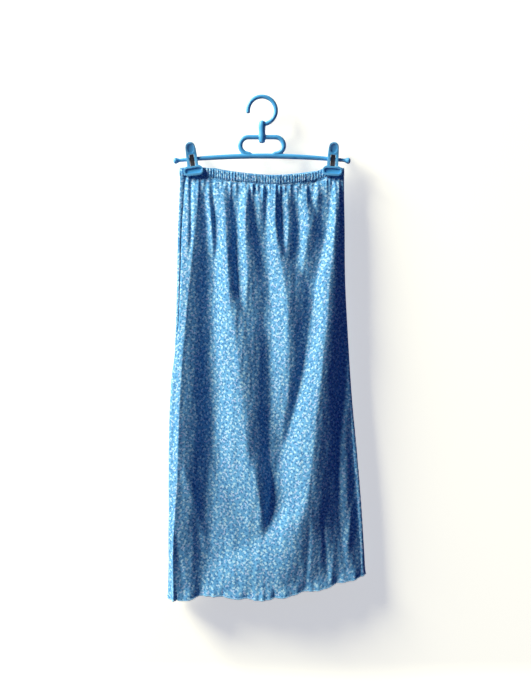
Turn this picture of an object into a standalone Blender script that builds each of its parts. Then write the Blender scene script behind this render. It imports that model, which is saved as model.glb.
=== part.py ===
"""A maxi skirt with a ruched elastic waist, hanging flat from a plastic clip hanger.

Metres, +Z up. The front faces -Y, and +X is to the right for someone who looks at it.
The origin is the top of the inside of the hook, where a rail carries the hanger.
The skirt is a flattened tube: a front and a back panel, joined at two side seams, hang
from a ring-shaped casing. Each wall is worked out from plans of the tube at a few
shares of its drop, and from a row for each fold.
"""

import math
from collections import namedtuple

import bmesh
import bpy
import numpy as np
from mathutils import Matrix, Vector

MM = 0.001

# Cloth walls
SEAM_GAP = 0.3 * MM
CLOTH_WALL = 1.2 * MM
PANEL_COLUMNS = 80
TURN_WEIGHT = 7 * MM  # extra columns where the plan turns, as a length for each radian
PLAN_STEPS = 1200

# Plans of the tube, in millimetres: the side edges, half the depth between the walls, the
# radius of the side folds, how far the clips still pinch it, and how far the side seams are
# turned from the side edges, to the front at the left and to the back at the right
Plan = namedtuple("Plan", "share left right half_depth end_radius pinch seam_turn")
PLANS = (
    Plan(0.00, -168, 168, 8.5, 1.9, 1.00, 11),
    Plan(0.04, -169, 168, 9.5, 2.6, 0.80, 11),
    Plan(0.12, -172, 169, 11.0, 4.5, 0.35, 11),
    Plan(0.25, -174, 170, 13.0, 6.0, 0.05, 11),
    Plan(0.40, -178, 176, 14.0, 6.5, 0.00, 9),
    Plan(0.55, -185, 184, 15.0, 7.0, 0.00, 4),
    Plan(0.70, -189, 196, 16.0, 7.0, 0.00, 2),
    Plan(0.85, -191, 206, 17.0, 7.5, 0.00, 1),
    Plan(1.00, -192, 211, 18.0, 8.0, 0.00, 1),
)
END_REACH = 45 * MM  # over which a wall comes out from its side fold to its full depth

# Rows of each panel, as shares of the drop from the waist seam to the hem
PANEL_ROWS = (0, 0.008, 0.02, 0.04, 0.08, 0.15, 0.24, 0.34, 0.45, 0.56, 0.67, 0.78, 0.88, 0.95, 0.98, 1)

# Folds of the two panels: where each ridge lies across and how far it stands out, in
# millimetres, at six levels evenly spaced from the waist seam to the hem, and its spread
Fold = namedtuple("Fold", "places heights spread")
FOLD_LEVELS = (0, 0.2, 0.4, 0.6, 0.8, 1)
FRONT_FOLDS = (
    Fold((-131, -134, -155, -163, -168, -168), (8, 11, 12, 12, 10, 4), 11),
    Fold((-108, -103, -100, -100, -100, -100), (4, 3, 0, 0, 0, 0), 6),
    Fold((-150, -150, -150, -147, -129, -119), (0, 0, 0, 2, 8, 4), 12),
    Fold((-78, -74, -62, -45, -30, -14), (8, 9, 10, 9, 6, 2), 12),
    Fold((-57, -53, -50, -50, -50, -50), (4, 2, 0, 0, 0, 0), 6),
    Fold((-31, -25, -25, -21, -12, -6), (8, 10, 8, 6, 3, 1), 11),
    Fold((-4, -4, -2, 0, 0, 0), (5, 2, 0, 0, 0, 0), 6),
    Fold((25, 31, 49, 48, 40, 36), (8, 9, 11, 8, 3, 1), 11),
    Fold((55, 54, 52, 50, 50, 50), (7, 5, 1, 0, 0, 0), 7),
    Fold((92, 89, 86, 84, 84, 84), (8, 6, 1, 0, 0, 0), 8),
    Fold((122, 112, 108, 104, 104, 104), (6, 3, 0, 0, 0, 0), 7),
    Fold((151, 142, 131, 115, 99, 92), (9, 13, 15, 14, 9, 2), 14),
    Fold((166, 168, 172, 178, 178, 190), (0, 0, 3, 9, 10, 5), 10),
)
BACK_FOLDS = (
    Fold((-146, -150, -158, -166, -171, -173), (7, 9, 10, 11, 8, 4), 11),
    Fold((-118, -114, -110, -104, -98, -92), (8, 10, 9, 6, 4, 2), 11),
    Fold((-94, -90, -86, -86, -86, -86), (5, 4, 1, 0, 0, 0), 7),
    Fold((-66, -70, -76, -68, -58, -50), (8, 10, 12, 11, 8, 3), 12),
    Fold((-40, -38, -36, -36, -36, -36), (6, 3, 0, 0, 0, 0), 7),
    Fold((-14, -18, -25, -20, -8, 2), (8, 11, 10, 8, 5, 2), 11),
    Fold((10, 8, 6, 6, 6, 6), (5, 2, 0, 0, 0, 0), 6),
    Fold((34, 30, 26, 34, 46, 52), (8, 9, 11, 12, 7, 2), 12),
    Fold((62, 62, 62, 62, 62, 62), (6, 3, 0, 0, 0, 0), 7),
    Fold((86, 82, 74, 80, 92, 100), (8, 10, 11, 9, 6, 2), 12),
    Fold((112, 110, 108, 106, 106, 106), (5, 3, 0, 0, 0, 0), 7),
    Fold((140, 134, 124, 126, 136, 146), (8, 10, 12, 12, 9, 4), 12),
    Fold((160, 160, 162, 170, 178, 186), (0, 2, 6, 9, 9, 5), 10),
)
FOLD_ONSET = 26 * MM  # the drop below the waist seam over which folds reach their height

# The top edge of the casing and the hem across the front, in millimetres
EdgePlace = namedtuple("EdgePlace", "across height")
TOP_EDGE = (
    EdgePlace(-168, -142.0),
    EdgePlace(-140, -140.5),
    EdgePlace(-116, -142.0),
    EdgePlace(-80, -148.5),
    EdgePlace(-40, -153.8),
    EdgePlace(20, -158.5),
    EdgePlace(70, -156.0),
    EdgePlace(108, -150.5),
    EdgePlace(124, -144.5),
    EdgePlace(144, -141.0),
    EdgePlace(168, -142.5),
)
BACK_TOP_LIFT = 3 * MM  # the back of the casing sags less between the clips
HEM_EDGE = (
    EdgePlace(-193, -1023),
    EdgePlace(-150, -1022),
    EdgePlace(-120, -1015),
    EdgePlace(-60, -1019),
    EdgePlace(25, -1020),
    EdgePlace(78, -1008),
    EdgePlace(120, -1001),
    EdgePlace(170, -987),
    EdgePlace(212, -977),
)
BACK_HEM_LIFT = 5 * MM

# Rolled wavy hem: where each wave dips, in millimetres across, and how far it swings
FRONT_DIPS = (-196, -182, -160, -129, -98, -76, -53, -25, 8, 31, 53, 86, 119, 150, 182, 212)
BACK_DIPS = (-196, -174, -148, -122, -92, -60, -36, -10, 18, 50, 74, 98, 128, 160, 186, 212)
HEM_DIP = 2.0 * MM
HEM_SWING = 3.0 * MM
HEM_WAVE_START = 0.94

# Casing: a ring with a plain inside and gathers raised on its outside
CASING_HEIGHT = 18 * MM
CASING_GATHERS = 130
CASING_HALF_WALL = 1.5 * MM
CASING_GRIPPED_WALL = 3.0 * MM
CASING_TOP_RUFFLE = 0.7 * MM
CasingRow = namedtuple("CasingRow", "height crest valley")
CASING_ROWS = (
    CasingRow(0.0, 2.3, 1.7),
    CasingRow(4.0, 3.6, 2.3),
    CasingRow(13.5, 3.6, 2.3),
    CasingRow(18.0, 2.4, 1.7),
)

# Hanger frame: an arched bar with knob ends, a handle loop, a barrel and a hook, moulded as one
BAR_MIDDLE_HEIGHT = -118 * MM
BAR_ARCH = 9.6 * MM
BAR_SIDES = 12
BarRow = namedtuple("BarRow", "across half_height half_depth")
BAR_ROWS = (
    BarRow(0.0, 5.2, 4.4),
    BarRow(48.0, 5.0, 4.3),
    BarRow(96.0, 4.6, 4.1),
    BarRow(132.0, 4.0, 3.8),
    BarRow(165.0, 3.4, 3.4),
    BarRow(171.0, 4.0, 4.0),
    BarRow(176.0, 6.0, 6.0),
    BarRow(179.2, 5.4, 5.4),
    BarRow(181.0, 2.8, 2.8),
)
BAR_END = 176 * MM
LOOP_STRAIGHT = 27.5 * MM
LOOP_RADIUS = 17.1 * MM
LOOP_TOP_HEIGHT = -79.3 * MM
LOOP_HALF_HEIGHT = 4.5 * MM
LOOP_HALF_DEPTH = 3.9 * MM
LOOP_FOOT = Vector((21 * MM, 0, -118 * MM))
BarrelRow = namedtuple("BarrelRow", "height radius")
BARREL_ROWS = (
    BarrelRow(-91.8, 1.6),
    BarrelRow(-90.8, 4.0),
    BarrelRow(-88.6, 5.8),
    BarrelRow(-85.4, 6.5),
    BarrelRow(-51.2, 6.5),
    BarrelRow(-48.2, 5.8),
    BarrelRow(-46.1, 4.0),
    BarrelRow(-45.1, 1.6),
)
HOOK_INSIDE_RADIUS = 24.5 * MM
HOOK_HALF_WIDTH = 4.0 * MM
HOOK_HALF_DEPTH = 3.5 * MM
HOOK_START = math.radians(-90)
HOOK_END = math.radians(185)
HOOK_STEPS = 22
TUBE_SIDES = 10

# Clips: two moulded halves that rock on the bar, pressed together by a bent steel strip
Clip = namedtuple("Clip", "name across lean")
CLIPS = (
    Clip("clip_left", -143.5 * MM, math.radians(-7.6)),
    Clip("clip_right", 145.5 * MM, math.radians(3.8)),
)
LeverRow = namedtuple("LeverRow", "height half_width inside outside")
LEVER_ROWS = (
    LeverRow(-27.0, 11.4, 3.7, 7.4),
    LeverRow(-15.5, 11.4, 4.1, 7.4),
    LeverRow(9.5, 11.0, 4.1, 7.4),
    LeverRow(24.0, 10.2, 7.9, 11.0),
    LeverRow(28.6, 9.0, 9.2, 12.2),
    LeverRow(31.6, 6.8, 10.1, 12.9),
    LeverRow(33.4, 3.8, 10.7, 13.2),
    LeverRow(34.0, 1.4, 10.9, 13.2),
)
LEVER_FLARE = math.radians(14)
FOOT_SIZE = Vector((40.8 * MM, 5.6 * MM, 20.4 * MM))
FOOT_CENTRE = Vector((0, 6.5 * MM, -24.6 * MM))
FOOT_RECESS = Vector((33.6 * MM, 3.0 * MM, 10.6 * MM))
FOOT_RECESS_DEPTH = 1.6 * MM
WINDOW_SIZE = Vector((10.6 * MM, 30 * MM, 25 * MM))
WINDOW_HEIGHT = -3 * MM
THUMB_RECESS = Vector((13.6 * MM, 6.0 * MM, 19 * MM))
THUMB_CENTRE = Vector((0, 12.1 * MM, 20.6 * MM))
OVAL_SIDES = 20
SPRING_WIDTH = 9 * MM
SPRING_HALF_WALL = 0.4 * MM
SPRING_RADIUS = 4.9 * MM
SPRING_BEND_HEIGHT = 4.5 * MM
SPRING_FOOT_HEIGHT = -15.2 * MM
SPRING_BEND_STEPS = 8

# Where the jaws hold the casing, and how far from them it stays pinched flat
JAW_PLACES = (-140.2 * MM, 143.9 * MM)
JAW_FLAT = 25 * MM
PINCH_REACH = 110 * MM

Finish = namedtuple("Finish", "colour roughness metallic")
PRINTED_CLOTH = Finish((0.12, 0.36, 0.62), 0.75, 0.0)
BLUE_PLASTIC = Finish((0.07, 0.35, 0.66), 0.35, 0.0)
SPRING_STEEL = Finish((0.18, 0.16, 0.17), 0.4, 1.0)


def clear_scene():
    """Removes every object that the scene starts with."""
    for obj in list(bpy.data.objects):
        bpy.data.objects.remove(obj, do_unlink=True)


def material(name, finish):
    """One plain material, made the first time that it is asked for."""
    made = bpy.data.materials.get(name)
    if made is None:
        made = bpy.data.materials.new(name)
        made.use_nodes = True
        shader = made.node_tree.nodes["Principled BSDF"]
        shader.inputs["Base Color"].default_value = (*finish.colour, 1)
        shader.inputs["Roughness"].default_value = finish.roughness
        shader.inputs["Metallic"].default_value = finish.metallic
        made.diffuse_color = (*finish.colour, 1)
    return made


def add_object(name, mesh, surface, sharp_angle=math.radians(40)):
    """Links a mesh as a smoothly shaded object with its material."""
    mesh.shade_smooth()
    mesh.set_sharp_from_angle(angle=sharp_angle)
    mesh.materials.append(surface)
    obj = bpy.data.objects.new(name, mesh)
    bpy.context.scene.collection.objects.link(obj)
    return obj


def ease(share):
    """Rises from 0 to 1 with level ends."""
    share = np.clip(share, 0, 1)
    return share * share * (3 - 2 * share)


def smooth_through(place, knots, values):
    """The smooth curve through a table's rows, level past its two ends."""
    knots = np.asarray(knots, float)
    values = np.asarray(values, float)
    slopes = np.gradient(values, knots)
    place = np.clip(place, knots[0], knots[-1])
    row = np.clip(np.searchsorted(knots, place, side="right") - 1, 0, len(knots) - 2)
    span = knots[row + 1] - knots[row]
    part = (place - knots[row]) / span
    return (
        values[row] * (1 + 2 * part) * (1 - part) ** 2
        + slopes[row] * span * part * (1 - part) ** 2
        + values[row + 1] * part**2 * (3 - 2 * part)
        - slopes[row + 1] * span * part**2 * (1 - part)
    )


def edge_height(edge, across):
    """The height of an edge at places across, from its table."""
    knots = [place.across * MM for place in edge]
    return smooth_through(across, knots, [place.height * MM for place in edge])


def grip(across):
    """1 where the jaws hold the casing flat and outside them, 0 in the free middle."""
    inward = np.minimum(across - JAW_PLACES[0], JAW_PLACES[1] - across)
    return ease((PINCH_REACH - inward) / (PINCH_REACH - JAW_FLAT))


class TubePlan:
    """The plan of the tube's walls at one share of the drop, as a closed middle line.

    It starts at the left side edge and runs across the front, then back across the back.
    """

    def __init__(self, share):
        shares = [plan.share for plan in PLANS]
        column = {
            name: float(smooth_through(share, shares, [getattr(plan, name) for plan in PLANS]))
            for name in Plan._fields[1:]
        }
        self.share = share
        self.seam_turn = column["seam_turn"] * MM
        radius = column["end_radius"] * MM
        left = column["left"] * MM + radius
        right = column["right"] * MM - radius
        quarter = np.linspace(0, math.pi / 2, PLAN_STEPS // 8, endpoint=False)
        across = np.linspace(left, right, PLAN_STEPS, endpoint=False)
        from_end = np.minimum(across - left, right - across)
        free = ease(from_end / END_REACH) * (1 - column["pinch"] * grip(across))
        depth = radius + (column["half_depth"] * MM - radius) * free
        x = np.concatenate([left - radius * np.cos(quarter), across, right + radius * np.sin(quarter)])
        y = np.concatenate([-radius * np.sin(quarter), -depth, -radius * np.cos(quarter)])
        middle = (left + right) / 2
        self.front_steps = len(x)
        self.x = np.concatenate([x, 2 * middle - x])
        self.y = np.concatenate([y, -y])
        # The back is the front turned half round, so it takes its depth again at its own places
        back = slice(self.front_steps + len(quarter), self.front_steps + len(quarter) + len(across))
        self.y[back] = np.interp(self.x[back], across, depth)
        self.measure()

    def measure(self):
        """Works out lengths along the line, its outward normals, and the spacing of columns."""
        turns = 2
        x = np.tile(self.x, turns)
        y = np.tile(self.y, turns)
        ahead = np.hypot(np.roll(x, -1) - x, np.roll(y, -1) - y)
        self.length = np.concatenate([[0], np.cumsum(ahead)[:-1]])
        along_x = np.roll(x, -1) - np.roll(x, 1)
        along_y = np.roll(y, -1) - np.roll(y, 1)
        size = np.hypot(along_x, along_y)
        self.normal_x = along_y / size
        self.normal_y = -along_x / size
        heading = np.unwrap(np.arctan2(along_y, along_x))
        turned = np.concatenate([[0], np.cumsum(np.abs(np.diff(heading)))])
        self.spacing = self.length + TURN_WEIGHT * turned
        self.two_x = x
        self.two_y = y
        self.front_length = self.length[self.front_steps]
        self.whole_length = self.length[len(self.x)]

    def at(self, lengths):
        """Points and normals at lengths along the line, and 1 on the front to -1 on the back."""
        x, y, normal_x, normal_y = (
            np.interp(lengths, self.length, values)
            for values in (self.two_x, self.two_y, self.normal_x, self.normal_y)
        )
        facing = np.clip(-normal_y, -1, 1)
        return x, y, normal_x, normal_y, facing

    def columns(self, start, end, count):
        """Lengths of evenly spaced columns between two lengths, closer where the line turns."""
        first, last = np.interp([start, end], self.length, self.spacing)
        return np.interp(np.linspace(first, last, count), self.spacing, self.length)


def relief(across, share, folds):
    """How far the folds of one panel stand out at places across."""
    total = np.zeros_like(across)
    for fold in folds:
        place = float(smooth_through(share, FOLD_LEVELS, fold.places)) * MM
        height = max(0.0, float(smooth_through(share, FOLD_LEVELS, fold.heights))) * MM
        total += height * np.exp(-(((across - place) / (fold.spread * MM)) ** 2))
    return total


def wave(across, dips):
    """A wave that is 1 at each dip and -1 half way between two."""
    return np.cos(2 * math.pi * np.interp(across, np.array(dips) * MM, np.arange(len(dips))))


def seam_height(across, facing):
    """The waist seam, under the casing."""
    lift = BACK_TOP_LIFT * (1 - facing) / 2 * (1 - grip(across))
    return edge_height(TOP_EDGE, across) + lift - CASING_HEIGHT


def hem_height(across, facing):
    """The hem, before its waves."""
    return edge_height(HEM_EDGE, across) + BACK_HEM_LIFT * (1 - facing) / 2


def panel_row(plan, lengths):
    """The middle points of a panel's wall at one share of the drop."""
    x, y, normal_x, normal_y, facing = plan.at(lengths)
    share = plan.share
    top = seam_height(x, facing) - SEAM_GAP
    drop = (top - hem_height(x, facing)) * share
    front = np.maximum(facing, 0) * relief(x, share, FRONT_FOLDS)
    back = np.maximum(-facing, 0) * relief(x, share, BACK_FOLDS)
    out = (front + back) * ease(drop / FOLD_ONSET)
    near_hem = ease((share - HEM_WAVE_START) / (1 - HEM_WAVE_START))
    waves = np.where(facing > 0, wave(x, FRONT_DIPS), wave(x, BACK_DIPS)) * np.abs(facing) * near_hem
    out = out + HEM_SWING * waves
    z = top - drop - HEM_DIP * waves
    return np.stack([x + normal_x * out, y + normal_y * out, z], axis=-1)


def normals_of(grid):
    """Outward unit normals of a grid whose rows run down and whose columns run round."""
    across = np.gradient(grid, axis=1)
    down = np.gradient(grid, axis=0)
    normals = np.cross(down, across)
    return normals / np.linalg.norm(normals, axis=-1, keepdims=True)


def strip_faces(first, second, wrap):
    """Triangles between two rows of point numbers, facing the side where first is on top."""
    count = len(first)
    faces = []
    for column in range(count if wrap else count - 1):
        after = (column + 1) % count
        faces.append((first[column], second[column], second[after]))
        faces.append((first[column], second[after], first[after]))
    return faces


def wall_mesh(name, outer, inner, wrap):
    """A closed wall between an outer and an inner grid of points.

    A wall that doesn't wrap round has as many rows outside as inside.
    """
    columns = outer.shape[1]
    points = np.concatenate([outer.reshape(-1, 3), inner.reshape(-1, 3)])
    outer_rows = np.arange(outer.shape[0] * columns).reshape(-1, columns)
    inner_rows = outer_rows[-1, -1] + 1 + np.arange(inner.shape[0] * columns).reshape(-1, columns)
    faces = []
    for above, below in zip(outer_rows, outer_rows[1:]):
        faces += strip_faces(above, below, wrap)
    for above, below in zip(inner_rows, inner_rows[1:]):
        faces += [face[::-1] for face in strip_faces(above, below, wrap)]
    faces += strip_faces(inner_rows[0], outer_rows[0], wrap)
    faces += strip_faces(outer_rows[-1], inner_rows[-1], wrap)
    if not wrap:
        faces += strip_faces(inner_rows[:, -1], outer_rows[:, -1], False)
        faces += strip_faces(outer_rows[:, 0], inner_rows[:, 0], False)
    mesh = bpy.data.meshes.new(name)
    mesh.from_pydata(points.tolist(), [], [tuple(int(corner) for corner in face) for face in faces])
    return mesh


def add_panels():
    """The front and back panels, from side seam to side seam."""
    rows = {"skirt_front": [], "skirt_back": []}
    for share in PANEL_ROWS:
        plan = TubePlan(share)
        left_seam = plan.seam_turn
        right_seam = plan.front_length + plan.seam_turn
        ends = {
            "skirt_front": (left_seam, right_seam),
            "skirt_back": (right_seam, plan.whole_length + plan.seam_turn),
        }
        for name, (start, end) in ends.items():
            lengths = plan.columns(start + SEAM_GAP / 2, end - SEAM_GAP / 2, PANEL_COLUMNS + 1)
            rows[name].append(panel_row(plan, lengths))
    cloth = material("printed_cloth", PRINTED_CLOTH)
    for name, grid in rows.items():
        middle = np.array(grid)
        offset = normals_of(middle) * CLOTH_WALL / 2
        add_object(name, wall_mesh(name, middle + offset, middle - offset, False), cloth)


def add_casing():
    """The ruched casing: one ring round the waist."""
    plan = TubePlan(0)
    lengths = plan.columns(0, plan.whole_length, 2 * CASING_GATHERS + 1)[:-1]
    x, y, normal_x, normal_y, facing = plan.at(lengths)
    foot = seam_height(x, facing)
    gripped = grip(x)
    crest = np.arange(len(lengths)) % 2 == 0

    def ring(out, height):
        return np.stack([x + normal_x * out, y + normal_y * out, foot + height], axis=-1)

    outer = []
    for row in reversed(CASING_ROWS):
        free = np.where(crest, row.crest, row.valley) * MM
        held = np.minimum(free, CASING_GRIPPED_WALL)
        wall = free + (held - free) * (gripped > 0.999)
        ruffle = np.where(crest, 1, -1) * CASING_TOP_RUFFLE * (1 - gripped) * (row is CASING_ROWS[-1])
        outer.append(ring(wall - CASING_HALF_WALL, row.height * MM + ruffle))
    inner = [ring(-CASING_HALF_WALL, CASING_HEIGHT), ring(-CASING_HALF_WALL, 0)]
    mesh = wall_mesh("waistband_casing", np.array(outer), np.array(inner), True)
    add_object("waistband_casing", mesh, material("printed_cloth", PRINTED_CLOTH), math.radians(20))


def oval(centre, axis_one, axis_two, sides):
    """The points of an ellipse from its centre and its two half axes."""
    turns = [2 * math.pi * side / sides for side in range(sides)]
    return [centre + axis_one * math.cos(turn) + axis_two * math.sin(turn) for turn in turns]


def loft_mesh(name, rings):
    """A closed solid through rings with the same number of points, its ends capped."""
    shape = bmesh.new()
    loops = []
    for ring in rings:
        corners = [shape.verts.new(point) for point in ring]
        count = len(corners)
        loops.append([shape.edges.new((corners[i], corners[(i + 1) % count])) for i in range(count)])
    for above, below in zip(loops, loops[1:]):
        bmesh.ops.bridge_loops(shape, edges=above + below)
    bmesh.ops.contextual_create(shape, geom=loops[0])
    bmesh.ops.contextual_create(shape, geom=loops[-1])
    bmesh.ops.recalc_face_normals(shape, faces=shape.faces)
    mesh = bpy.data.meshes.new(name)
    shape.to_mesh(mesh)
    shape.free()
    return mesh


def swept_rings(centres, half_widths, half_depths, sides):
    """Rings square to a path in the XZ plane, half_depths being along Y."""
    rings = []
    for place, centre in enumerate(centres):
        before = centres[max(place - 1, 0)]
        after = centres[min(place + 1, len(centres) - 1)]
        along = (after - before).normalized()
        across = Vector((0, 1, 0)).cross(along)
        rings.append(
            oval(centre, across * half_widths[place], Vector((0, half_depths[place], 0)), sides)
        )
    return rings


def helper(name, mesh):
    """An object that only shapes another one, left out of the render."""
    obj = bpy.data.objects.new(name, mesh)
    bpy.context.scene.collection.objects.link(obj)
    obj.hide_render = True
    obj.display_type = "WIRE"
    return obj


def combine(obj, other, operation):
    """Adds an exact Boolean of the object with a helper."""
    modifier = obj.modifiers.new(other.name, "BOOLEAN")
    modifier.operation = operation
    modifier.object = other
    modifier.solver = "EXACT"


def bar_height(across):
    """The height of the arched bar's middle line."""
    return BAR_MIDDLE_HEIGHT - BAR_ARCH * (across / BAR_END) ** 2


def bar_mesh():
    """The arched bar with its two knobs."""
    half = [(row.across * MM, row.half_height * MM, row.half_depth * MM) for row in BAR_ROWS]
    rows = [(-across, high, deep) for across, high, deep in reversed(half[1:])] + half
    centres = [Vector((across, 0, bar_height(across))) for across, high, deep in rows]
    return loft_mesh(
        "hanger_frame",
        swept_rings(centres, [row[1] for row in rows], [row[2] for row in rows], BAR_SIDES),
    )


def loop_mesh():
    """The handle: a straight top, two round ends and two feet that sink into the bar."""
    steps = 8
    right_end = []
    for step in range(steps + 1):
        turn = math.pi / 2 - math.pi * step / steps
        right_end.append(
            Vector(
                (
                    LOOP_STRAIGHT + LOOP_RADIUS * math.cos(turn),
                    0,
                    LOOP_TOP_HEIGHT - LOOP_RADIUS + LOOP_RADIUS * math.sin(turn),
                )
            )
        )
    right_end.append(LOOP_FOOT.copy())
    left_end = [Vector((-point.x, 0, point.z)) for point in reversed(right_end)]
    path = left_end + right_end
    return loft_mesh(
        "handle_loop",
        swept_rings(path, [LOOP_HALF_HEIGHT] * len(path), [LOOP_HALF_DEPTH] * len(path), TUBE_SIDES),
    )


def barrel_mesh():
    """The round barrel between the handle and the hook."""
    return loft_mesh(
        "barrel",
        [
            oval(
                Vector((0, 0, row.height * MM)),
                Vector((row.radius * MM, 0, 0)),
                Vector((0, row.radius * MM, 0)),
                BAR_SIDES,
            )
            for row in BARREL_ROWS
        ],
    )


def hook_mesh():
    """The hook: an arc from the barrel round to a rounded tip."""
    radius = HOOK_INSIDE_RADIUS + HOOK_HALF_WIDTH
    centre_height = -HOOK_INSIDE_RADIUS
    tip_sizes = (1.0, 0.8, 0.4)
    tip_turns = (0, 2.6 * MM / radius, 4.0 * MM / radius)
    turns = [HOOK_START + (HOOK_END - HOOK_START) * step / HOOK_STEPS for step in range(HOOK_STEPS)]
    sizes = [1.0] * len(turns)
    for turn, size in zip(tip_turns, tip_sizes):
        turns.append(HOOK_END + turn)
        sizes.append(size)
    path = [
        Vector((radius * math.cos(turn), 0, centre_height + radius * math.sin(turn))) for turn in turns
    ]
    return loft_mesh(
        "hook",
        swept_rings(
            path,
            [HOOK_HALF_WIDTH * size for size in sizes],
            [HOOK_HALF_DEPTH * size for size in sizes],
            TUBE_SIDES,
        ),
    )


def add_hanger_frame():
    """The one moulding that carries the clips and hangs from a rail."""
    frame = add_object("hanger_frame", bar_mesh(), material("blue_plastic", BLUE_PLASTIC))
    for piece in (loop_mesh(), barrel_mesh(), hook_mesh()):
        combine(frame, helper(piece.name, piece), "UNION")


def stadium(centre, width, height, y):
    """The outline of a plate with round ends, in a plane across Y."""
    radius = height / 2
    reach = width / 2 - radius
    steps = OVAL_SIDES // 2
    points = []
    for side in (1, -1):
        for step in range(steps + 1):
            turn = math.pi * step / steps - math.pi / 2
            points.append(
                Vector(
                    (
                        centre.x + side * (reach + radius * math.cos(turn)),
                        y,
                        centre.z + side * radius * math.sin(turn),
                    )
                )
            )
    return points


def box_mesh(name, size, centre):
    """A box from its size and centre."""
    shape = bmesh.new()
    bmesh.ops.create_cube(shape, size=1, matrix=Matrix.Translation(centre) @ Matrix.Diagonal((*size, 1)))
    mesh = bpy.data.meshes.new(name)
    shape.to_mesh(mesh)
    shape.free()
    return mesh


def lever_mesh(name, side):
    """The lever of one clip half, from inside the foot up to the round thumb tab."""
    rings = []
    for row in LEVER_ROWS:
        wide = row.half_width * MM
        inside, outside = side * row.inside * MM, side * row.outside * MM
        corners = ((-wide, inside), (wide, inside), (wide, outside), (-wide, outside))
        rings.append([Vector((x, y, row.height * MM)) for x, y in corners])
    return loft_mesh(name, rings)


def add_clip_half(clip, word, side, place):
    """One moulded half: a lever with a window and a thumb recess, and a wide foot."""
    name = f"{clip.name}_{word}"
    half = add_object(name, lever_mesh(name, side), material("blue_plastic", BLUE_PLASTIC))
    half.matrix_world = place
    foot_near = side * (FOOT_CENTRE.y - FOOT_SIZE.y / 2)
    foot_far = side * (FOOT_CENTRE.y + FOOT_SIZE.y / 2)
    foot = loft_mesh(
        f"{name}_foot",
        [stadium(FOOT_CENTRE, FOOT_SIZE.x, FOOT_SIZE.z, y) for y in (foot_near, foot_far)],
    )
    recess_floor = foot_far - side * FOOT_RECESS_DEPTH
    recess = loft_mesh(
        f"{name}_foot_recess",
        [
            stadium(FOOT_CENTRE, FOOT_RECESS.x, FOOT_RECESS.z, y)
            for y in (recess_floor, recess_floor + side * FOOT_RECESS.y)
        ],
    )
    window = box_mesh(f"{name}_window", WINDOW_SIZE, Vector((0, 0, WINDOW_HEIGHT)))
    tilt = Matrix.Rotation(-side * LEVER_FLARE, 3, "X")
    thumb_centre = Vector((0, side * THUMB_CENTRE.y, THUMB_CENTRE.z))
    thumb = loft_mesh(
        f"{name}_thumb_recess",
        [
            oval(
                thumb_centre + tilt @ Vector((0, step * THUMB_RECESS.y / 2, 0)),
                tilt @ Vector((THUMB_RECESS.x / 2, 0, 0)),
                tilt @ Vector((0, 0, THUMB_RECESS.z / 2)),
                OVAL_SIDES,
            )
            for step in (-1, 1)
        ],
    )
    steps = ((foot, "UNION"), (window, "DIFFERENCE"), (recess, "DIFFERENCE"), (thumb, "DIFFERENCE"))
    for mesh, operation in steps:
        tool = helper(mesh.name, mesh)
        tool.matrix_world = place
        combine(half, tool, operation)


def add_spring(clip, place):
    """The bent steel strip: over the bar, with a leg in each window."""
    path = [Vector((0, -SPRING_RADIUS, SPRING_FOOT_HEIGHT))]
    for step in range(SPRING_BEND_STEPS + 1):
        turn = math.pi * (1 - step / SPRING_BEND_STEPS)
        path.append(
            Vector((0, SPRING_RADIUS * math.cos(turn), SPRING_BEND_HEIGHT + SPRING_RADIUS * math.sin(turn)))
        )
    path.append(Vector((0, SPRING_RADIUS, SPRING_FOOT_HEIGHT)))
    rings = []
    for step, centre in enumerate(path):
        along = (path[min(step + 1, len(path) - 1)] - path[max(step - 1, 0)]).normalized()
        if step in (0, len(path) - 1):
            along = Vector((0, 0, 1 if step == 0 else -1))
        thick = Vector((1, 0, 0)).cross(along) * SPRING_HALF_WALL
        wide = Vector((SPRING_WIDTH / 2, 0, 0))
        corners = ((-wide, -thick), (wide, -thick), (wide, thick), (-wide, thick))
        rings.append([centre + sideways + through for sideways, through in corners])
    name = f"{clip.name}_spring"
    spring = add_object(name, loft_mesh(name, rings), material("spring_steel", SPRING_STEEL))
    spring.matrix_world = place


def add_clips():
    """Both clips, each leaning as it hangs on the bar."""
    for clip in CLIPS:
        spot = Vector((clip.across, 0, bar_height(clip.across)))
        place = Matrix.Translation(spot) @ Matrix.Rotation(clip.lean, 4, "Y")
        add_clip_half(clip, "front", -1, place)
        add_clip_half(clip, "back", 1, place)
        add_spring(clip, place)


clear_scene()
add_panels()
add_casing()
add_hanger_frame()
add_clips()
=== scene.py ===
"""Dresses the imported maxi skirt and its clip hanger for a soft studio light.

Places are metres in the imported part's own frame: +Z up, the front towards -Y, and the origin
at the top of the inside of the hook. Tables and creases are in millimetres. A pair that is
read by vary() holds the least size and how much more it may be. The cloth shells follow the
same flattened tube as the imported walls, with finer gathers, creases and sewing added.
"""
import logging
import math
from dataclasses import dataclass
from enum import Enum
from functools import partial

import bmesh
import bpy
import numpy as np
from mathutils import Matrix, Vector, noise


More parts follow.
